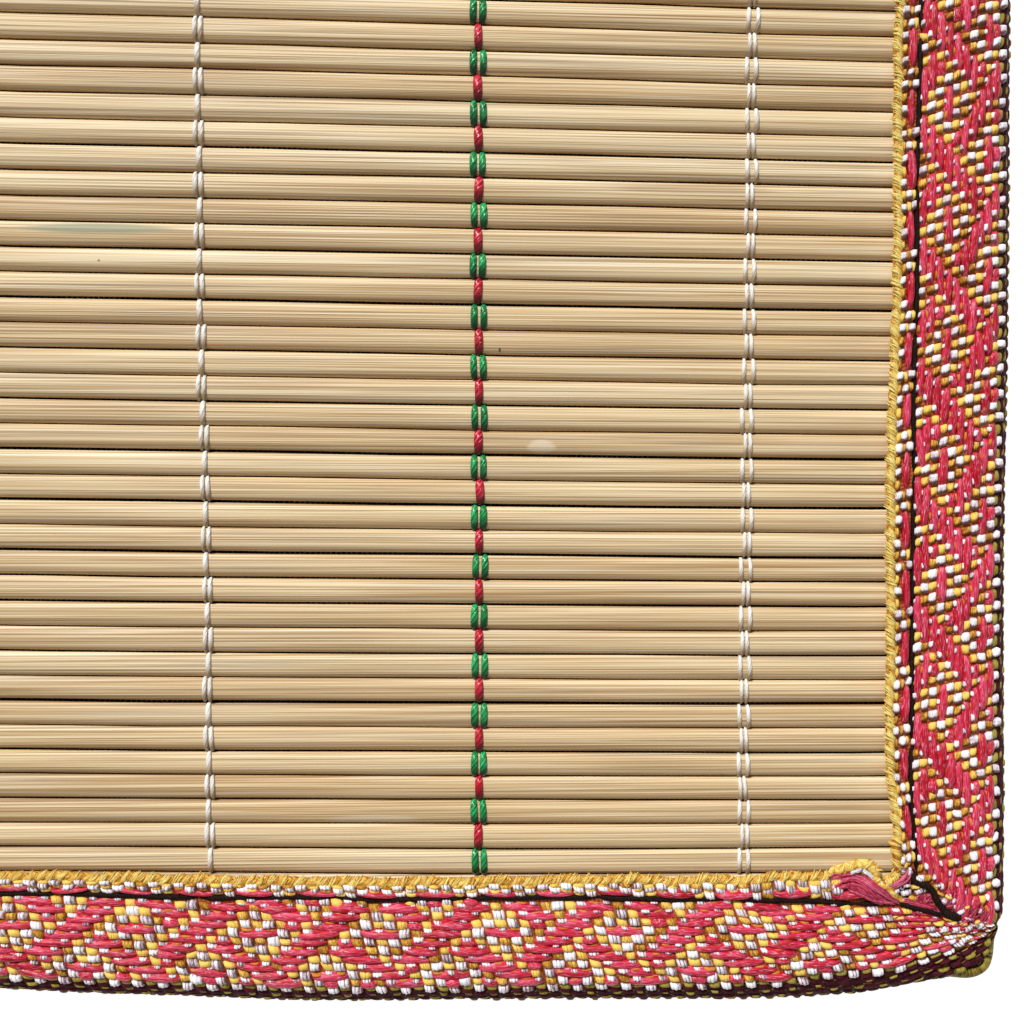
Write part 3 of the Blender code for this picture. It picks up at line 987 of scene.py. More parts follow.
# Near a corner a float is left out where its tip, this share of its length from its middle, has no room,
# or where its middle is nearer than this many mm for each pick of its length
FLOAT_TIP, FLOAT_SPARE = 0.4, 0.3
# Those inside the seam: their half widths on the front and back and on the other two sides,
# and their height
INNER_FLOAT_WIDE, INNER_FLOAT_HIGH = (0.35, 0.44), 0.60
# How far along, in picks, the forms inside the seam are shifted from those outside it
INNER_SHIFT = 0.3

# How far a yarn's middle keeps from the middle of a corner, outside the seam and inside it,
# and on the front and the right side from the cut line
CORNER_SPARE, INNER_SPARE, CUT_SPARE_FRONT, CUT_SPARE_RIGHT = 0.25, 0.9, 0.2, 0.25


def lies_well(side, at, reach):
    """Whether the middle of a yarn on this side is clear of the corners and of the cut line."""
    if side is FRONT:
        place = in_gather(side, at, reach, 0.0)
        x, y = place[:, 0], place[:, 1]
        short = x < MAT_LENGTH / 2 + RIGHT.bulge(y + MAT_WIDTH / 2) - END_SPARE
        inside = short & (y > -MAT_WIDTH / 2 - FRONT.bulge(x + MAT_LENGTH / 2) + OUTLINE_SPARE)
        inside |= at < GATHER_START + GATHER_BLEND / 2
        clear = (y < np.interp(x, CUT_X, CUT_Y) - CUT_SPARE_FRONT) & inside
        return np.where(at > GATHER_START, clear, side.holds(at, reach, CORNER_SPARE))
    if side is RIGHT:
        place = on_ribbon(side, at, reach, 0.0)
        clear = place[:, 1] > np.interp(place[:, 0], CUT_X, CUT_Y) + CUT_SPARE_RIGHT
        return clear & side.holds(at, reach)
    return side.holds(at, reach, CORNER_SPARE)


def short_of_corner(side, at, front_end, right_start):
    """Whether a place is clear of the front's loose end and of the right side's loose start."""
    return ((at < front_end) | (side is not FRONT)) & ((at > right_start) | (side is not RIGHT))


# How much one form differs from the next: as shares of its width, its length and its height, in mm along
# and outward, and in its turn
UNEVEN_WIDE, UNEVEN_LONG, UNEVEN_HIGH = 0.08, 0.06, 0.16
UNEVEN_AT, UNEVEN_OUT, UNEVEN_TURN, UNEVEN_SLOPE = 0.05, 0.035, 0.10, 0.05


def lay(pile, side, pillow, *values):
    """Lays pillows on the ribbon: each one's middle, half sizes and height, and whether floats squeeze it."""
    at, reach, long, wide, high, squeezed = (value[:, None] for value in values)
    count = len(at)
    if not count:
        return
    wider, moved, longer, shifted, turned, higher = chance.normal(0, 1, (6, count, 1))
    out = pillow.spread * wide * (1 + UNEVEN_WIDE * wider)
    along = pillow.along * long * (1 + UNEVEN_LONG * longer)
    spot = at + UNEVEN_AT * moved + along + (SLANT + UNEVEN_TURN * turned) * out
    level = reach + UNEVEN_OUT * shifted + out + UNEVEN_SLOPE * turned * along
    lift = pillow.rise * high * (1 + UNEVEN_HIGH * higher) - SUNK
    points = on_ribbon(side, spot, level, lift)
    if side is FRONT:
        gathered = np.broadcast_to(at > GATHER_START, spot.shape)[..., None]
        points = np.where(gathered, in_gather(side, spot, level, lift), points)
    upright = 1.0 if side in (FRONT, BACK) else 0.0
    grid = {"along": pillow.along, "across": pillow.across}
    pile.add(points, pillow.faces, tone=chance.random((count, 1)), squeezed=squeezed, upright=upright, **grid)


def beads(pile, side, use, at, level, form, pillows=(FINE_BEAD, PLAIN_BEAD), squeezed=0.0):
    """Lays a form at each place in use: a fine pillow near the photograph's corner, a plain one elsewhere."""
    values = (at, level + form.out, form.long, form.wide, form.high, squeezed)
    values = [np.broadcast_to(value, len(at))[use].astype(float) for value in values]
    close = is_fine(side, values[0])
    for pillow, chosen in zip(pillows, (close, ~close)):
        lay(pile, side, pillow, *(value[chosen] for value in values))


def float_cover(row, picks):
    """For the picks of a row: whether a pink float covers each, and whether it is the float's first."""
    covered, first_pick = np.zeros(len(picks), bool), np.zeros(len(picks), bool)
    for first, length in FLOATS[row % len(FLOATS)]:
        covered |= (picks - first) % PATTERN_REPEAT < length
        first_pick |= (picks - first) % PATTERN_REPEAT == 0
    return covered, first_pick


def face_row(side, piles, row, count, at, level, clear, white_pillows):
    """One row of the face: white and gold by turns, and the pink floats over them."""
    weave = WEAVE[side.name]
    held = clear & lies_well(side, at, level)
    white = (row + count) % 2 == 0
    shown = at + weave.pick * (1 - weave.fill) / 2
    covered, first_pick = float_cover(row, count)

    def cell(sizes):
        return np.where(covered, np.where(first_pick, sizes.first, sizes.rest), sizes.open)

    out = -weave.row * cell(SQUEEZED_IN)
    high = (RIBBED_HIGH if side in (FRONT, BACK) else BLOCK_HIGH) * cell(WHITE_HIGH)
    form = Form(out, cell(WHITE_LONG) * weave.fill, cell(WHITE_WIDE), high)
    beads(piles["white"], side, held & white, shown, level, form, white_pillows)
    form = Form(out, GOLD_LONG * weave.fill, cell(GOLD_WIDE), cell(GOLD_HIGH))
    beads(piles["gold"], side, held & ~white, shown, level, form, squeezed=cell(SQUEEZED))
    for first, length in FLOATS[row % len(FLOATS)]:
        middle = at + (length - 1) / 2 * weave.pick
        use = clear & lies_well(side, middle, level) & ((count - first) % PATTERN_REPEAT == 0)
        if side is FRONT:
            tip = middle + FLOAT_TIP * length * weave.pick
            use &= (tip < GATHER_START) | lies_well(side, tip, level)
        else:
            use &= side.holds(middle, level, FLOAT_SPARE * length)
        long = weave.pick * (length / 2 + FLOAT_OVER)
        form = Form(weave.row * FLOAT_OUT, long, weave.row * FLOAT_WIDE, FLOAT_HIGH)
        beads(piles["pink"], side, use, middle, level, form, (FINE_FLOAT, PLAIN_FLOAT))


def inner_rows(side, piles, count, white_pillows):
    """The short rows between the seam and the gold cord."""
    weave, ribbed = WEAVE[side.name], side in (FRONT, BACK)
    for row, reach in enumerate(weave.inner):
        at = weave.start + (count + INNER_SHIFT) * weave.pick + SLANT * reach
        level = strayed(side, at, reach)
        held = side.holds(at, level, INNER_SPARE) & short_of_corner(side, at, LOOSE_FRONT, LOOSE_RIGHT)
        white = (row + count) % 2 == 0
        into_float = (count - INNER_FLOAT) % (PATTERN_REPEAT // 2)
        if row == 0:
            middle = at + ((INNER_FLOAT_LENGTH - 1) / 2 + INNER_FLOAT_SHIFT) * weave.pick
            long = weave.pick * (INNER_FLOAT_LENGTH / 2 + FLOAT_OVER)
            form = Form(0.0, long, INNER_FLOAT_WIDE[0 if ribbed else 1], INNER_FLOAT_HIGH)
            float_level = strayed(side, at, weave.inner_float)
            use = held & (into_float == 0)
            beads(piles["pink"], side, use, middle, float_level, form, (FINE_FLOAT, PLAIN_FLOAT))
        if row == 0 or (row == 1 and not ribbed):
            held &= into_float >= INNER_FLOAT_LENGTH
        shown = at + weave.pick * (1 - weave.fill) / 2
        form = INNER_WHITE._replace(long=INNER_WHITE.long * weave.fill)
        beads(piles["white"], side, held & white, shown, level, form, white_pillows)
        beads(piles["gold"], side, held & ~white, at, level, INNER_GOLD)


def weave_side(side, piles):
    """The yarns that show on one side of the ribbon."""
    weave, ribbed = WEAVE[side.name], side in (FRONT, BACK)
    count = np.arange(int(-weave.start / weave.pick) - 6, int((side.length - weave.start) / weave.pick) + 7)
    white_pillows = (FINE_WHITE, PLAIN_WHITE) if ribbed else (FINE_BLOCK, PLAIN_BEAD)
    edge_pillows = (EDGE_BEAD, PLAIN_BEAD)
    for row in range(ALL_ROWS):
        at, level, clear = cell_places(side, count, weave.first + weave.row * row)
        if row < FACE_ROWS:
            face_row(side, piles, row, count, at, level, clear, white_pillows)
            continue
        held = clear & lies_well(side, at, level)
        white = (row + count) % 2 == 0
        if row == FACE_ROWS:
            shown = at + weave.pick * (1 - weave.fill) / 2
            form = BORDER_WHITE._replace(long=BORDER_WHITE.long * weave.fill)
            beads(piles["white"], side, held & white, shown, level, form, white_pillows)
            beads(piles["edge_shaded_gold"], side, held & ~white, at, level, BORDER_SHADED_GOLD)
            beads(piles["edge_shaded_pink"], side, held & ~white, at, level, BORDER_SHADED_PINK)
        else:
            beads(piles["edge_shaded_gold"], side, held & white, at, level, EDGE_SHADED_GOLD, edge_pillows)
            maroon = held & (~white | is_fine(side, at))
            beads(piles["edge_shaded_pink"], side, maroon, at, level, EDGE_SHADED_PINK, edge_pillows)
    inner_rows(side, piles, count, white_pillows)


# The ground starts under the gold cord, this far from the seam, but at the corner in the photograph,
# between these places along the front and the right side, it is drawn back nearly to the seam;
# farther out it stays as it is
GROUND_START, GROUND_DRAWN, GROUND_KEPT = -2.0, -0.2, 0.6
DRAWN_BACK = {"front": ((414.0, 417.5), (0.0, 1.0)), "right": ((13.0, 16.0), (1.0, 0.0))}
# Where the front's rows draw together, those over a place on the ground belong this much farther out
GATHER_SHIFT_AT, GATHER_SHIFT = (417.0, 421.0, 434.0), (0.0, 0.8, 2.0)


def row_shift(side, at):
    """How far the rows over a place on the ground come from, farther out."""
    if side is not FRONT:
        return np.zeros(np.shape(at))
    return -fanned(at, FAN_REACH[1])[1] + np.interp(at, GATHER_SHIFT_AT, GATHER_SHIFT)


def drawn_back(side, at, reach):
    """A reach on the ground: its inner part strays with the gold cord, and is pressed in at the corner."""
    if side.name in STRAYS:
        inside = np.minimum(reach, 0.0)
        reach = reach + strayed(side, at, inside) - strayed(side, at, 0.0) - inside
    if side.name not in DRAWN_BACK:
        return reach
    back = np.interp(at, *DRAWN_BACK[side.name])
    start = GROUND_START + (GROUND_DRAWN - GROUND_START) * back
    pressed = start + (reach - GROUND_START) * (GROUND_KEPT - start) / (GROUND_KEPT - GROUND_START)
    return np.where(reach < GROUND_KEPT, pressed, reach)


# Under the yarns' middles the ground lies this deep, and it is this thick
GROUND_DEPTH, GROUND_THICKNESS = 0.12, 0.55
# Its points across the ribbon: evenly over the face as far out as this,
# then so many round to the edge turned under
GROUND_STEP, GROUND_FACE, GROUND_UNDER = 0.8, 10.0, 16
# Its sections along a side: at these distances from each end, and about this far apart between them
END_SECTIONS, SECTION_STEP = (0.0, 1.5, 3.5, 6.0, 9.0, 12.5, 16.0, 19.0), 7
# Its sections round a corner, as turns in radians
CORNER_TURNS = (0.3, 0.6, 0.9, 1.2)


def ribbon_ground():
    """The woven ground of the ribbon as one closed ring, just under the yarns."""
    pile = Pile("pick", "row", "reach", "bare")
    under = np.linspace(GROUND_FACE + 0.2, REACH[-1], GROUND_UNDER)
    outer = np.concatenate((np.arange(GROUND_START, GROUND_FACE, GROUND_STEP), under))
    reach = np.concatenate((outer, outer[::-1]))
    lift = np.repeat((-GROUND_DEPTH, -GROUND_DEPTH - GROUND_THICKNESS), len(outer))
    rings, picks, bare, shift = [], [], [], []
    for side in SIDES:
        weave = WEAVE[side.name]
        radius, first, last = side.straight(np.interp(reach, REACH, SECTION[:, 0]))
        ends = side.length / 2 - np.array(END_SECTIONS)
        middle = np.linspace(-ends[-1], ends[-1], int(side.length / SECTION_STEP))
        shares = np.concatenate((-ends[:-1], middle, ends[:-1][::-1])) / side.length + 0.5
        sections = [(first + share * (last - first), 0.0) for share in shares]
        sections += [(last, turn) for turn in CORNER_TURNS]
        for at, turn in sections:
            rings.append(on_ribbon(side, at + radius * turn, drawn_back(side, at, reach), lift))
            shift.append(row_shift(side, at))
            picks.append((at - weave.start - SLANT * reach) / weave.pick)
            bare.append(1.0 - weave.fill)
    rows = (reach - BESIDE_SEAM) / WEAVE["front"].row
    pile.add(
        np.stack(rings).reshape(1, -1, 3),
        ring_faces(len(rings), len(reach), closed=True),
        pick=np.stack(picks).ravel(),
        row=np.tile(rows, len(rings)),
        reach=(reach + np.stack(shift)).ravel(),
        bare=np.repeat(bare, len(reach)),
    )
    return pile


def run_along(side, reach, step, fine_step, spare):
    """Places along a side at a reach from the seam, closer together where the yarns are fine."""
    _, first, last = side.straight(np.interp(reach, REACH, SECTION[:, 0]))
    first, last = float(first) + spare, float(last) - spare
    spots = [first]
    while spots[-1] < last:
        spots.append(spots[-1] + (fine_step if is_fine(side, spots[-1]) else step))
    return np.array(spots[:-1])


def sway(at, waves):
    """How far a thread sways: waves with their size, length and start."""
    return sum(size * np.sin(at * math.tau / length + start) for size, length, start in waves)


CORD_WIDTH, CORD_THICKNESS, CORD_DEPTH = 1.06, 0.56, 0.30
CORD_SWAY = ((0.10, 7.3, 0.0), (0.07, 2.3, 1.0))
# How far apart the sections of the cord and of the seam's thread are, and near the corner in the photograph
CORD_STEPS, SEAM_STEPS = (1.2, 0.3), (1.2, 0.4)
# The gold cord's run on the two sides that meet in the photograph: the front's end
# and the right side's start
CORD_FRONT, CORD_RIGHT = 416.0, 15.6
# The filaments that go over a cord: their pitch and width, and how far each runs along and across it
STRAND_PITCH, STRAND_WIDTH, STRAND_LONG, STRAND_ACROSS = 0.088, 0.20, 0.80, 1.06
# Chance in them: the ranges of their spacing, width, length and reach across, and of how high they rise
SPACING_RANGE, THICK_RANGE, LONG_RANGE, ACROSS_RANGE = (0.5, 1.5), (0.75, 1.3), (0.75, 1.25), (0.85, 1.15)
RISE_RANGE, ASIDE_SPREAD, TONE_SPREAD = (-0.03, 0.05), 0.04, 0.26
# How deep their ends lie in the cord
STRAND_SUNK = 0.04
# They stand in tufts, about one for each pick of the ribbon,
# which rise and swell in the middle, painted paler there and darker between as light and shade
TUFT_PITCH, TUFT_RISE, TUFT_SWELL, TUFT_SHADE = 1.22, 0.13, 0.10, 0.20
# Where the ribbon is coarse the filaments are thicker and fewer
COARSE_WIDTH, COARSE_PITCH = 3.0, 5.5
# The cord's mean tone, how much paler it is painted on the right side, as painted light, and the tone of its
# core
CORD_TONE, RIGHT_PAINTED_LIGHT, CORE_TONE = 0.58, 0.22, 0.3


def filaments(pile, path, scale, fine, pale):
    """Fine filaments that lie obliquely over a cord, in tufts; pale is their mean tone."""
    share = np.linspace(0, 1, 5 if fine else 4)
    rise = np.sin(math.pi * share) ** 0.6
    run = run_of(path)

    def on_path(spot):
        return np.stack([np.interp(spot, run, path[:, axis]) for axis in range(3)], 1)

    start = 0.0
    while start < run[-1] - STRAND_LONG * 0.6:
        tuft = math.cos(math.tau * (start + 0.25 * math.sin(start * 0.9)) / TUFT_PITCH)
        spot = np.minimum(start + STRAND_LONG * scale * chance.uniform(*LONG_RANGE) * share, run[-1])
        here, ahead = on_path(spot), on_path(spot + 0.2) - on_path(spot - 0.2)
        left = np.stack((-ahead[:, 1], ahead[:, 0]), 1) / np.linalg.norm(ahead[:, :2], axis=1)[:, None]
        half = (STRAND_ACROSS / 2 + TUFT_SWELL * tuft) * scale * chance.uniform(*ACROSS_RANGE)
        here[:, :2] += left * (half * (2 * share - 1) + chance.normal(0, ASIDE_SPREAD))[:, None]
        crown = CORD_THICKNESS / 2 * scale + STRAND_SUNK + TUFT_RISE * (tuft + 1) / 2
        here[:, 2] += (crown + chance.uniform(*RISE_RANGE)) * rise - STRAND_SUNK
        width = STRAND_WIDTH * chance.uniform(*THICK_RANGE) * (0.45 + 0.55 * rise)
        width = width * (1.0 if fine else COARSE_WIDTH)
        # Painted light and shade: paler at each tuft's crest and darker between tufts
        tone = pale + TUFT_SHADE * tuft + chance.uniform(-TONE_SPREAD, TONE_SPREAD)
        tube(pile, here, width, width * 0.8, 4 if fine else 3, tone=tone)
        start += STRAND_PITCH * (1.0 if fine else COARSE_PITCH) * chance.uniform(*SPACING_RANGE)


def selvedge_cord():
    """The gold edge: a flat cord under fine filaments."""
    pile = Pile("along", "round", "climb", "tone")
    for side in SIDES:
        cord = WEAVE[side.name].cord
        at = run_along(side, cord, *CORD_STEPS, 0.2)
        at = at[short_of_corner(side, at, CORD_FRONT, CORD_RIGHT)]
        path = on_ribbon(side, at, strayed(side, at, cord) - sway(at, CORD_SWAY), -CORD_DEPTH)
        tuft = TUFT_SWELL * np.cos(math.tau * at / TUFT_PITCH)
        tube(pile, path, CORD_WIDTH + tuft, CORD_THICKNESS, 6, tone=CORE_TONE)
        close = is_fine(side, at)
        for fine in (True, False):
            part = path[close == fine]
            if len(part) > 1:
                # Painted light: the right side's filaments are paler
                filaments(pile, part, 1.0, fine, CORD_TONE + (RIGHT_PAINTED_LIGHT if side is RIGHT else 0.0))
    return pile


# The seam's thread: its width, its height as a share of that,
# how far it lies above the ribbon and how it sways
SEAM_WIDTH, SEAM_HEIGHT_SHARE, SEAM_LIFT = 0.58, 0.8, 0.02
SEAM_SWAY = ((0.06, 23.0, 0.0), (0.03, 5.1, 0.0))
# Its stitches: their length, how unevenly they follow each other,
# and how deep, over what length and how much narrower it dips between them
SEAM_STITCH, STITCH_UNEVEN, STITCH_WAVE = 14.0, 0.13, 31.0
DIP_DEPTH, DIP_LENGTH, DIP_NARROWER = 0.26, 0.9, 0.2
# Where the front's seam goes under the loose pink yarns, and where the right side's seam bends
SEAM_FRONT, SEAM_RIGHT = 423.2, 12.2


def seam_thread():
    """The dark sewing thread in its groove: long stitches that dip where the needle went through."""
    pile = Pile("along", "round", "climb", "tone")
    for side in SIDES:
        at = run_along(side, 0.0, *SEAM_STEPS, 0.4)
        at = at[short_of_corner(side, at, SEAM_FRONT, SEAM_RIGHT)]
        stitch = (at / SEAM_STITCH + STITCH_UNEVEN * np.sin(at / STITCH_WAVE)) % 1.0
        dip = np.exp(-((np.minimum(stitch, 1 - stitch) * SEAM_STITCH / DIP_LENGTH) ** 2))
        reach = strayed(side, at, 0.0) + sway(at, SEAM_SWAY)
        path = on_ribbon(side, at, reach, SEAM_LIFT - DIP_DEPTH * dip)
        wide = SEAM_WIDTH * (1 - DIP_NARROWER * dip)
        tube(pile, path, wide, wide * SEAM_HEIGHT_SHARE, 8, tone=0.5)
    return pile


# The corner in the photograph, where the front's ribbon ends over the right side's

def top_height(x, y):
    """How high the binding's top is at a place near that corner."""
    from_front = y + MAT_WIDTH / 2 + FRONT.bulge(x + MAT_LENGTH / 2)
    from_right = MAT_LENGTH / 2 - x + RIGHT.bulge(y + MAT_WIDTH / 2)
    return np.interp(np.minimum(from_front, from_right), TOP_ACROSS, TOP_HEIGHT)


# Loose yarns there: which yarn, how wide, how far above the binding its middle lies,
# and the places it passes
LooseYarn = namedtuple("LooseYarn", "yarn width lift path")
LOOSE_YARNS = (
    LooseYarn("seam", 0.72, 0.34, (
        (207.50, -139.9), (207.42, -140.7), (207.50, -141.25), (208.05, -141.48), (208.8, -141.5),
        (209.34, -142.02), (209.72, -142.89), (210.15, -143.65), (210.7, -144.28), (211.4, -144.65),
        (212.3, -144.9),
    )),
    LooseYarn("seam", 0.86, 0.36, ((210.3, -144.0), (210.85, -144.45), (211.5, -144.72), (212.35, -144.9))),
    LooseYarn("seam", 0.50, 0.50, (
        (206.0, -143.5), (206.6, -143.62), (207.74, -143.97), (208.77, -144.21), (210.5, -144.6),
    )),
    LooseYarn("cord", 1.05, 0.06, (
        (198.7, -140.4), (199.74, -140.1), (201.39, -139.6), (202.63, -139.4), (203.6, -140.1),
        (203.8, -141.2),
    )),
    LooseYarn("cord", 0.46, 0.42, (
        (202.30, -140.15), (203.7, -141.17), (204.97, -142.02), (205.82, -142.97), (206.66, -143.19),
    )),
    LooseYarn("cord", 0.40, 0.36, (
        (202.75, -140.25), (204.0, -141.15), (205.2, -142.0), (205.95, -142.75),
    )),
    LooseYarn("cord", 0.95, 0.10, (
        (205.30, -136.9), (205.62, -137.86), (205.75, -139.42), (205.88, -140.47),
    )),
    LooseYarn("cord", 0.66, 0.25, ((205.80, -140.3), (205.37, -141.05), (204.45, -141.39))),
    LooseYarn("cord", 0.50, 0.20, ((205.7, -140.3), (205.05, -140.75), (204.3, -141.05))),
    LooseYarn("white", 0.34, 0.52, ((200.9, -140.35), (201.5, -140.05), (202.1, -139.95))),
    LooseYarn("white", 0.34, 0.52, (
        (202.20, -139.98), (202.7, -140.30), (203.1, -140.75), (203.46, -141.0),
    )),
    LooseYarn("white", 0.24, 0.46, ((203.6, -140.95), (204.3, -141.5), (204.9, -142.1))),
    LooseYarn("pink", 0.46, 0.30, (
        (199.1, -141.8), (200.3, -141.0), (201.6, -140.9), (202.7, -141.6), (204.2, -142.7),
    )),
    LooseYarn("pink", 0.48, 0.32, (
        (199.3, -142.0), (200.8, -141.4), (202.0, -141.8), (203.2, -142.5), (204.8, -143.3),
    )),
    LooseYarn("pink", 0.46, 0.28, ((200.6, -141.9), (202.0, -142.4), (203.8, -143.15), (205.8, -143.50))),
    LooseYarn("pink", 0.46, 0.36, (
        (201.0, -140.7), (202.2, -141.0), (203.5, -141.9), (205.0, -142.9), (206.1, -143.4),
    )),
    LooseYarn("pink", 0.42, 0.40, (
        (201.9, -140.6), (203.0, -141.1), (204.3, -142.1), (205.6, -143.0), (206.4, -143.3),
    )),
    LooseYarn("pink", 0.42, 0.26, ((204.2, -142.7), (205.4, -143.1), (206.8, -143.3), (208.4, -143.5))),
    LooseYarn("pink", 0.42, 0.26, ((206.6, -143.2), (207.6, -143.5), (208.8, -143.7), (209.8, -143.9))),
    LooseYarn("pink", 0.46, 0.30, ((199.0, -140.9), (200.0, -140.65), (201.0, -140.45), (201.8, -140.55))),
    LooseYarn("pink", 0.46, 0.34, ((204.5, -141.85), (205.65, -141.3), (206.5, -140.75), (206.8, -139.9))),
    LooseYarn("pink", 0.40, 0.28, ((205.0, -141.9), (206.0, -141.45), (206.9, -141.1), (207.2, -140.3))),
)
# Places along a loose yarn and along a frizzy fibre,
# and how much lower than its middle a loose yarn's ends lie
LOOSE_STEPS, FRIZZ_STEPS, ENDS_LOWER = 14, 7, 0.22
# How many fine fibres lie over each loose yarn, their width,
# how far aside and above its middle they lie, and how far they sway
FIBRES_OVER, FIBRE_WIDTH = 7, (0.10, 0.17)
FIBRE_ASIDE, FIBRE_ABOVE, FIBRE_SWAY = (-0.5, 0.5), (0.15, 0.42), 0.12
# Short frizzy fibres there: the yarn, how many lie in which patch, given by its middle and half sizes, how
# they lean and how much that differs, in radians, and how long they are
Frizz = namedtuple("Frizz", "yarn fibres x y half_x half_y lean spread long")
FRIZZ = (
    Frizz("pink", 90, 208.5, -143.2, 0.75, 0.62, 0.9, 0.9, 0.8),
    Frizz("pink", 44, 213.6, -144.6, 1.5, 0.75, 1.0, 0.25, 1.9),
    Frizz("pink", 34, 205.3, -141.3, 0.9, 0.25, 0.45, 0.5, 0.8),
    Frizz("pink", 60, 203.0, -141.9, 1.8, 0.45, -0.55, 0.2, 1.5),
    Frizz("pink", 40, 205.0, -143.2, 1.8, 0.25, -0.25, 0.2, 1.4),
    Frizz("pink", 30, 211.4, -142.6, 1.6, 0.90, 1.2, 0.4, 1.0),
    Frizz("pink", 26, 206.0, -144.9, 3.6, 0.50, -0.1, 0.2, 1.2),
    Frizz("cord", 40, 201.8, -140.1, 2.2, 0.45, 0.4, 0.6, 0.7),
    Frizz("cord", 24, 205.6, -140.0, 0.5, 1.20, 1.2, 0.6, 0.7),
    Frizz("white", 5, 206.6, -142.0, 1.4, 0.30, 0.4, 0.6, 0.5),
    Frizz("pink", 40, 200.3, -140.75, 1.0, 0.25, 0.25, 0.2, 1.0),
    Frizz("pink", 50, 206.8, -140.7, 0.45, 0.45, 0.8, 0.5, 0.8),
    Frizz("pink", 40, 208.9, -144.1, 1.1, 0.25, -0.2, 0.2, 1.0),
    Frizz("pink", 34, 211.6, -143.5, 0.9, 0.40, 0.8, 0.4, 0.9),
)
# Their height above the binding, their half length as a share of the patch's, their bend and their width
FRIZZ_LIFT, FRIZZ_LONG, FRIZZ_BEND, FRIZZ_WIDTH = (0.05, 0.40), (0.6, 1.2), 0.12, (0.08, 0.18)
# Woven cells of the ribbons' ends at that corner, in groups of one yarn that lie equally high above the
# binding: the middle of each, its half sizes and its turn in degrees
CORNER_CELLS = (
    ("white", 0.22, (
        (205.56, -142.24, 0.49, 0.27, 20), (206.75, -142.40, 0.60, 0.34, 10),
        (208.05, -142.24, 0.45, 0.28, 30), (206.75, -141.65, 0.46, 0.19, 0),
        (208.0, -140.98, 0.38, 0.20, -30),
    )),
    ("gold", 0.22, (
        (205.60, -142.92, 0.60, 0.26, -10), (207.40, -142.98, 0.50, 0.34, -25),
        (207.67, -141.81, 0.50, 0.24, 5), (210.15, -142.40, 0.45, 0.20, -35),
        (211.0, -142.75, 0.38, 0.20, -30), (212.9, -143.76, 0.34, 0.22, 20),
    )),
    ("white", 0.22, (
        (210.54, -143.16, 0.36, 0.34, 60), (211.5, -143.10, 0.34, 0.22, 45),
        (212.3, -144.24, 0.46, 0.28, 30), (209.94, -141.54, 0.32, 0.17, 20),
        (206.29, -138.99, 0.42, 0.30, 75), (206.37, -140.08, 0.36, 0.28, 80),
    )),
    ("gold", 0.12, (
        (206.62, -139.50, 0.36, 0.26, 85), (206.95, -139.30, 0.30, 0.20, 80),
    )),
    ("white", 0.22, (
        (207.05, -140.18, 0.46, 0.20, 80),
    )),
    ("gold", 0.12, (
        (208.86, -145.43, 0.44, 0.26, -5), (210.21, -145.49, 0.44, 0.26, 0),
        (211.57, -145.43, 0.44, 0.26, 5), (212.70, -145.55, 0.40, 0.24, 10),
        (214.11, -145.40, 0.36, 0.24, 20),
    )),
    ("white", 0.16, (
        (209.24, -146.08, 0.52, 0.30, 5), (210.65, -146.14, 0.52, 0.32, 5),
        (211.84, -146.14, 0.50, 0.34, 10), (213.19, -146.02, 0.52, 0.30, 25),
        (214.43, -145.78, 0.42, 0.30, 30),
    )),
    ("white", 0.12, (
        (211.50, -147.40, 0.40, 0.26, 20), (212.65, -147.33, 0.42, 0.28, 25),
    )),
    # Maroon and olive cells: pink and gold yarn painted dark as shade over the corner's edge
    ("edge_shaded_pink", -0.12, (
        (214.6, -147.5, 0.49, 0.27, 20), (214.8, -148.4, 0.81, 0.30, 25), (214.2, -149.6, 0.81, 0.46, 25),
        (213.1, -148.7, 0.54, 0.30, 20), (212.1, -150.0, 0.65, 0.33, 15), (213.3, -150.0, 0.54, 0.35, 35),
        (210.9, -149.7, 0.65, 0.26, 15), (210.3, -151.0, 0.60, 0.30, 12), (211.5, -151.0, 0.54, 0.28, 12),
    )),
    ("edge_shaded_gold", -0.12, (
        (215.4, -147.8, 0.46, 0.38, 25), (213.6, -149.1, 0.60, 0.30, 25), (212.7, -150.7, 0.65, 0.39, 15),
        (210.9, -150.6, 0.65, 0.26, 15), (211.7, -149.2, 0.46, 0.24, 15), (215.2, -148.7, 0.41, 0.41, 30),
    )),
)
CELL_HEIGHT = 0.34
# The olive end of the ribbon that shows at the very corner: its outline,
# and its section from the top to underneath
TAB_OUTLINE = (
    (210.8, -151.9), (212.5, -152.12), (213.89, -152.27), (215.28, -151.92), (216.33, -151.07),
    (216.75, -149.57), (216.82, -147.85), (217.1, -147.0), (217.2, -146.6),
)
TAB_CENTRE = (212.6, -147.6)
TAB_SECTION = (
    (1.75, 4.50), (1.45, 4.90), (0.75, 4.62), (0.18, 3.8), (-0.05, 2.7), (0.10, 1.4),
    (0.9, 0.55), (1.8, 0.35),
)
# How many strands' width its length counts for in its finish
TAB_GRAIN = 6


def loose_path(places, steps, lift):
    """A smooth path through places on the binding, with its height above it."""
    line = smoothed(places, 3)
    run = run_of(line)
    spot = np.linspace(0, run[-1], steps)
    x, y = np.interp(spot, run, line[:, 0]), np.interp(spot, run, line[:, 1])
    return np.stack((x, y, top_height(x, y) + lift), 1)


def blunt_ends(share, power, least):
    """How much of its width a fibre keeps at each share of its half length; the ends are rounded off."""
    return np.sqrt(np.maximum(1 - np.abs(share) ** power, least))


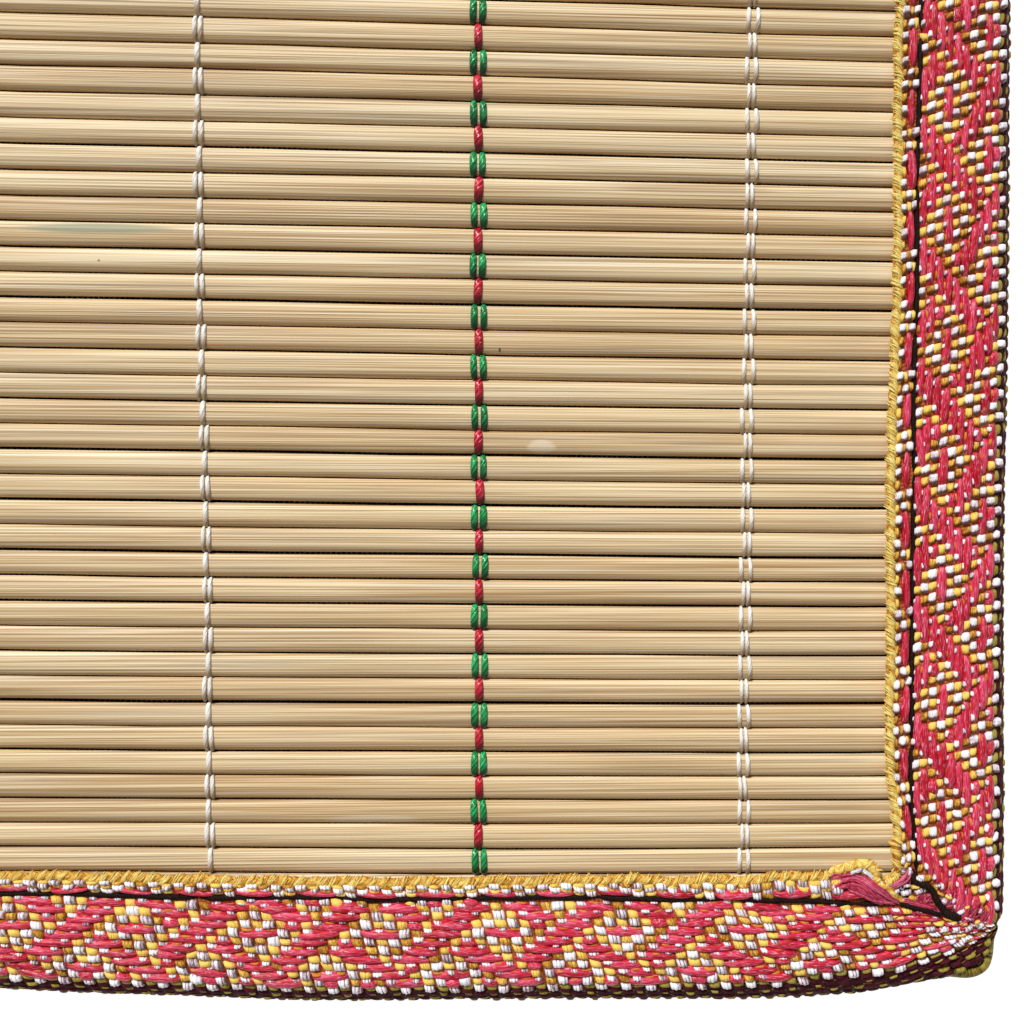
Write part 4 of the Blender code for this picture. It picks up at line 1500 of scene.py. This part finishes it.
def fibres_over(pile, path, share, width):
    """Fine fibres that run along a loose yarn, on top of it."""
    for _ in range(FIBRES_OVER):
        aside, above = chance.uniform(*FIBRE_ASIDE), chance.uniform(*FIBRE_ABOVE)
        wobble = FIBRE_SWAY * np.sin(share * chance.uniform(2, 5) + chance.uniform(0, 6))
        fibre = path + width * np.array((0.4, 0.9, 0.0)) * (aside + wobble)[:, None]
        fibre[:, 2] += width * above
        fine = chance.uniform(*FIBRE_WIDTH) * blunt_ends(share, 8, 0.02)
        tube(pile, fibre, fine, fine, 6, tone=chance.random())


def frizz(pile, patch):
    """One patch of short fibres."""
    share = np.linspace(-1, 1, FRIZZ_STEPS)
    for _ in range(patch.fibres):
        x = patch.x + chance.uniform(-1, 1) * patch.half_x
        y = patch.y + chance.uniform(-1, 1) * patch.half_y
        lean = patch.lean + chance.normal(0, patch.spread)
        half = patch.long / 2 * chance.uniform(*FRIZZ_LONG)
        bend = chance.normal(0, FRIZZ_BEND, 2)
        ends = half * np.array((math.cos(lean), math.sin(lean)))
        middle = np.array((x, y))
        places = (middle - ends, middle + bend, middle + ends)
        path = loose_path(places, FRIZZ_STEPS, chance.uniform(*FRIZZ_LIFT))
        width = chance.uniform(*FRIZZ_WIDTH) * blunt_ends(share, 4, 0.03)
        tube(pile, path, width, width, 4, tone=chance.random())


def loose_yarns():
    """The loose yarns and fibres of that corner, one mesh for each kind of yarn."""
    piles = {name: Pile("along", "round", "climb", "tone") for name in ("seam", "cord", "white", "pink")}
    share = np.linspace(-1, 1, LOOSE_STEPS)
    for yarn in LOOSE_YARNS:
        pile = piles[yarn.yarn]
        path = loose_path(yarn.path, LOOSE_STEPS, yarn.lift - ENDS_LOWER * np.abs(share) ** 3)
        width = yarn.width * blunt_ends(share, 8, 0.02)
        tube(pile, path, width, width * 0.75, 10, tone=chance.random())
        if yarn.yarn == "cord":
            filaments(pile, path, yarn.width / CORD_WIDTH, True, CORD_TONE)
        elif yarn.yarn != "seam":
            fibres_over(pile, path, share, yarn.width)
    for patch in FRIZZ:
        frizz(piles[patch.yarn], patch)
    return piles


def corner_cells(piles):
    """The woven cells of the ribbons' ends at the very corner."""
    grid = {"along": FINE_BEAD.along, "across": FINE_BEAD.across}
    for yarn, lift, cells in CORNER_CELLS:
        for middle_x, middle_y, half_long, half_wide, degrees in cells:
            cosine, sine = math.cos(math.radians(degrees)), math.sin(math.radians(degrees))
            long, wide = FINE_BEAD.along * half_long, FINE_BEAD.across * half_wide
            x, y = middle_x + long * cosine - wide * sine, middle_y + long * sine + wide * cosine
            height = top_height(x, y) + FINE_BEAD.rise * CELL_HEIGHT + lift
            points, tone = np.stack((x, y, height), 1)[None], chance.random()
            piles[yarn].add(points, FINE_BEAD.faces, tone=tone, squeezed=0.0, upright=1.0, **grid)


def corner_tab():
    """The olive end of the ribbon, turned under at the very corner."""
    pile = Pile("along", "across", "tone", "upright")
    outline, section = smoothed(TAB_OUTLINE, 2), smoothed(TAB_SECTION, 1)
    inward = np.array(TAB_CENTRE) - outline
    inward /= np.linalg.norm(inward, axis=1)[:, None]
    flat = outline[:, None] + section[None, :, :1] * inward[:, None]
    height = np.broadcast_to(section[:, 1], flat.shape[:2])
    points = np.concatenate((flat, height[..., None]), -1).reshape(1, -1, 3)
    along = np.repeat(np.linspace(-1, 1, len(outline)) * TAB_GRAIN, len(section))
    across = np.tile(np.linspace(-1, 1, len(section)), len(outline))
    faces = strips(len(outline) - 1, len(section) - 1)[:, ::-1]
    pile.add(points, faces, along=along, across=across, tone=0.7, upright=1.0)
    return pile


# The backing cloth

BACKING_LENGTH, BACKING_WIDTH = 426.2, 299.2
BACKING_TOP, BACKING_THICKNESS = 2.15, 0.5
# How many points across the cloth and sections along it, and its waviness: its size and its two lengths
BACKING_POINTS, BACKING_SECTIONS = 40, 60
BACKING_WAVE, BACKING_WAVE_X, BACKING_WAVE_Y = 0.06, 17.0, 13.0
DOT_PITCH = 0.52


def backing():
    """The cloth behind the slats, pulled flat with a faint waviness."""
    pile = Pile()
    across, stations = BACKING_POINTS, BACKING_SECTIONS
    y = np.linspace(BACKING_WIDTH / 2, -BACKING_WIDTH / 2, across)
    xs = np.linspace(-BACKING_LENGTH / 2, BACKING_LENGTH / 2, stations)
    rings = np.empty((stations, 2 * across, 3))
    rings[..., 0] = xs[:, None]
    rings[..., 1] = np.concatenate((y, y[::-1]))
    wave = BACKING_WAVE * np.sin(xs[:, None] / BACKING_WAVE_X) * np.cos(y[None] / BACKING_WAVE_Y)
    rings[:, :across, 2] = BACKING_TOP + wave
    rings[:, across:, 2] = (BACKING_TOP - BACKING_THICKNESS + wave)[:, ::-1]
    faces = np.concatenate((ring_faces(stations, 2 * across), closed_ends(stations, 2 * across)))
    pile.add(rings.reshape(1, -1, 3), faces)
    return pile


# The studio

# The photograph's side in pixels, and the camera's focal length and the picture's shift in those pixels
IMAGE_SIZE, FOCAL_PIXELS, PICTURE_SHIFT = 1024, 1200.0, (60.3, 35.2)
SENSOR = 36.0
# Where the camera is, and its turn about x, y and z in degrees
CAMERA_PLACE, CAMERA_TILT = (166.71, -100.74, 125.07), (-2.926, -2.567, 0.29)
# The nearest that it sees, in metres
CAMERA_NEAR = 0.005
# The direction that the sun shines from, and how soft it is in degrees
SUN_PLACE = (-0.42, 0.80, 0.72)
SUN_STRENGTH, SUN_SPREAD = 3.1, 9.0
SKY_STRENGTH = 0.32
FLOOR_GLOW = 0.80
# The floor's side, in metres
FLOOR_SIZE = 6.0


def set_camera():
    camera = add_object("camera", bpy.data.cameras.new("camera"))
    camera.data.sensor_width = SENSOR
    camera.data.lens = FOCAL_PIXELS / IMAGE_SIZE * SENSOR
    camera.data.shift_x = -PICTURE_SHIFT[0] / IMAGE_SIZE
    camera.data.shift_y = PICTURE_SHIFT[1] / IMAGE_SIZE
    camera.data.clip_start = CAMERA_NEAR
    turn_x, turn_y, turn_z = (math.radians(angle) for angle in CAMERA_TILT)
    turned = Matrix.Rotation(turn_z, 4, "Z") @ Matrix.Rotation(turn_y, 4, "Y")
    turned = turned @ Matrix.Rotation(turn_x, 4, "X")
    camera.matrix_world = Matrix.Translation(Vector(CAMERA_PLACE) * MM) @ turned
    bpy.context.scene.camera = camera


def set_light():
    """Soft light from the far side of the mat, a little from the left, and an even pale sky."""
    sun = add_object("sun", bpy.data.lights.new("sun", "SUN"))
    sun.data.energy = SUN_STRENGTH
    sun.data.angle = math.radians(SUN_SPREAD)
    sun.rotation_euler = Vector(SUN_PLACE).to_track_quat("Z", "Y").to_euler()
    world = bpy.data.worlds.new("studio")
    bpy.context.scene.world = world
    world.use_nodes = True
    sky = world.node_tree.nodes["Background"]
    sky.inputs["Color"].default_value = (1.0, 1.0, 1.0, 1.0)
    sky.inputs["Strength"].default_value = SKY_STRENGTH
    bpy.context.scene.view_settings.view_transform = "Standard"


def set_floor():
    mesh = bpy.data.meshes.new("studio_floor")
    half = FLOOR_SIZE / 2
    corners = [(-half, -half, 0), (half, -half, 0), (half, half, 0), (-half, half, 0)]
    mesh.from_pydata(corners, [], [(0, 1, 2, 3)])
    mesh.materials.append(floor_finish().material)
    floor = add_object("studio_floor", mesh)


set_camera()
set_light()
set_floor()

slats = Slats()
slat_piece = slats.mesh().piece("split_slats", bamboo_finish(), "bamboo")
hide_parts("slat_panel")

threads = tie_slats(slats)
# Each thread's foot colour is painted shade on the near end of its stitches
thread_finishes = {
    "white": yarn_finish(
        "white thread", (226, 216, 204), (253, 250, 242), (255, 255, 255), 1.2, 0.35, shade_foot=(168, 138, 98)
    ),
    "green": yarn_finish(
        "green thread", (0, 74, 34), (0, 140, 66), (60, 214, 130), 1.6, 0.25, shade_foot=(0, 44, 18)
    ),
    "red": yarn_finish(
        "red thread", (134, 0, 16), (196, 6, 36), (246, 92, 116), 1.6, 0.25, shade_foot=(84, 0, 10)
    ),
}
for colour, pile in threads.items():
    pile.piece(f"{colour}_threads", thread_finishes[colour], f"{colour}_thread")

backing_piece = backing().piece("backing_weave", backing_finish(), "backing")
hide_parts("backing_cloth")

ground_piece = ribbon_ground().piece("ribbon_ground", ground_finish(), "ribbon")
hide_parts("binding_tape")

YARNS = ("white", "gold", "pink", "edge_shaded_gold", "edge_shaded_pink")
yarns = {name: Pile("along", "across", "tone", "squeezed", "upright") for name in YARNS}
for side in SIDES:
    weave_side(side, yarns)
corner_cells(yarns)
yarn_finishes = {
    "white": bead_finish(
        "white weft", (120, 84, 84), (228, 214, 224), (255, 255, 255), 3, 0.4, shaded=0.72, own=0.40
    ),
    "gold": bead_finish(
        "gold yarn", (112, 58, 10), (200, 136, 34), (255, 216, 104), 1, 0.5,
        shine=0.3, squeezed=(206, 96, 26), shaded=0.40, own=0.62,
    ),
    "pink": float_finish(),
    # Painted shade: the olive and maroon yarns are gold and pink, darkened where the ribbon turns over its
    # edge
    "edge_shaded_gold": bead_finish("gold yarn in painted shade", (66, 54, 14), (132, 112, 36), (174, 156, 70), 1, 0.7, shine=0.15),
    "edge_shaded_pink": bead_finish("pink yarn in painted shade", (18, 3, 7), (46, 9, 18), (82, 22, 36), 1, 0.75, shine=0.12),
}
for name, pile in yarns.items():
    pile.piece(f"ribbon_{name}", yarn_finishes[name], "ribbon")

gold_cord = yarn_finish(
    "gold selvedge", (158, 88, 14), (242, 180, 54), (255, 232, 138), 1.3, 0.5, shine=0.3, own=0.62
)
selvedge_cord().piece("ribbon_selvedge", gold_cord, "ribbon")
dark_thread = yarn_finish("sewing thread", (8, 3, 2), (24, 11, 8), (56, 32, 22), 3.0, 0.7, shine=0.15)
seam_thread().piece("seam_thread", dark_thread, "sewing_thread")
# The corner's end takes the olive finish: gold yarn painted dark as shade
corner_tab().piece("ribbon_corner_end", yarn_finishes["edge_shaded_gold"], "ribbon")
loose_finishes = {
    "seam": dark_thread,
    "cord": gold_cord,
    "white": yarn_finish("loose white yarn", (204, 194, 202), (250, 248, 252), (255, 255, 255), 2.0, 0.4),
    "pink": yarn_finish("pink fibre", (150, 8, 38), (208, 40, 78), (244, 132, 166), 1.5, 0.35, own=0.4),
}
for name, pile in loose_yarns().items():
    pile.piece(f"corner_{name}", loose_finishes[name], "sewing_thread" if name == "seam" else "ribbon")
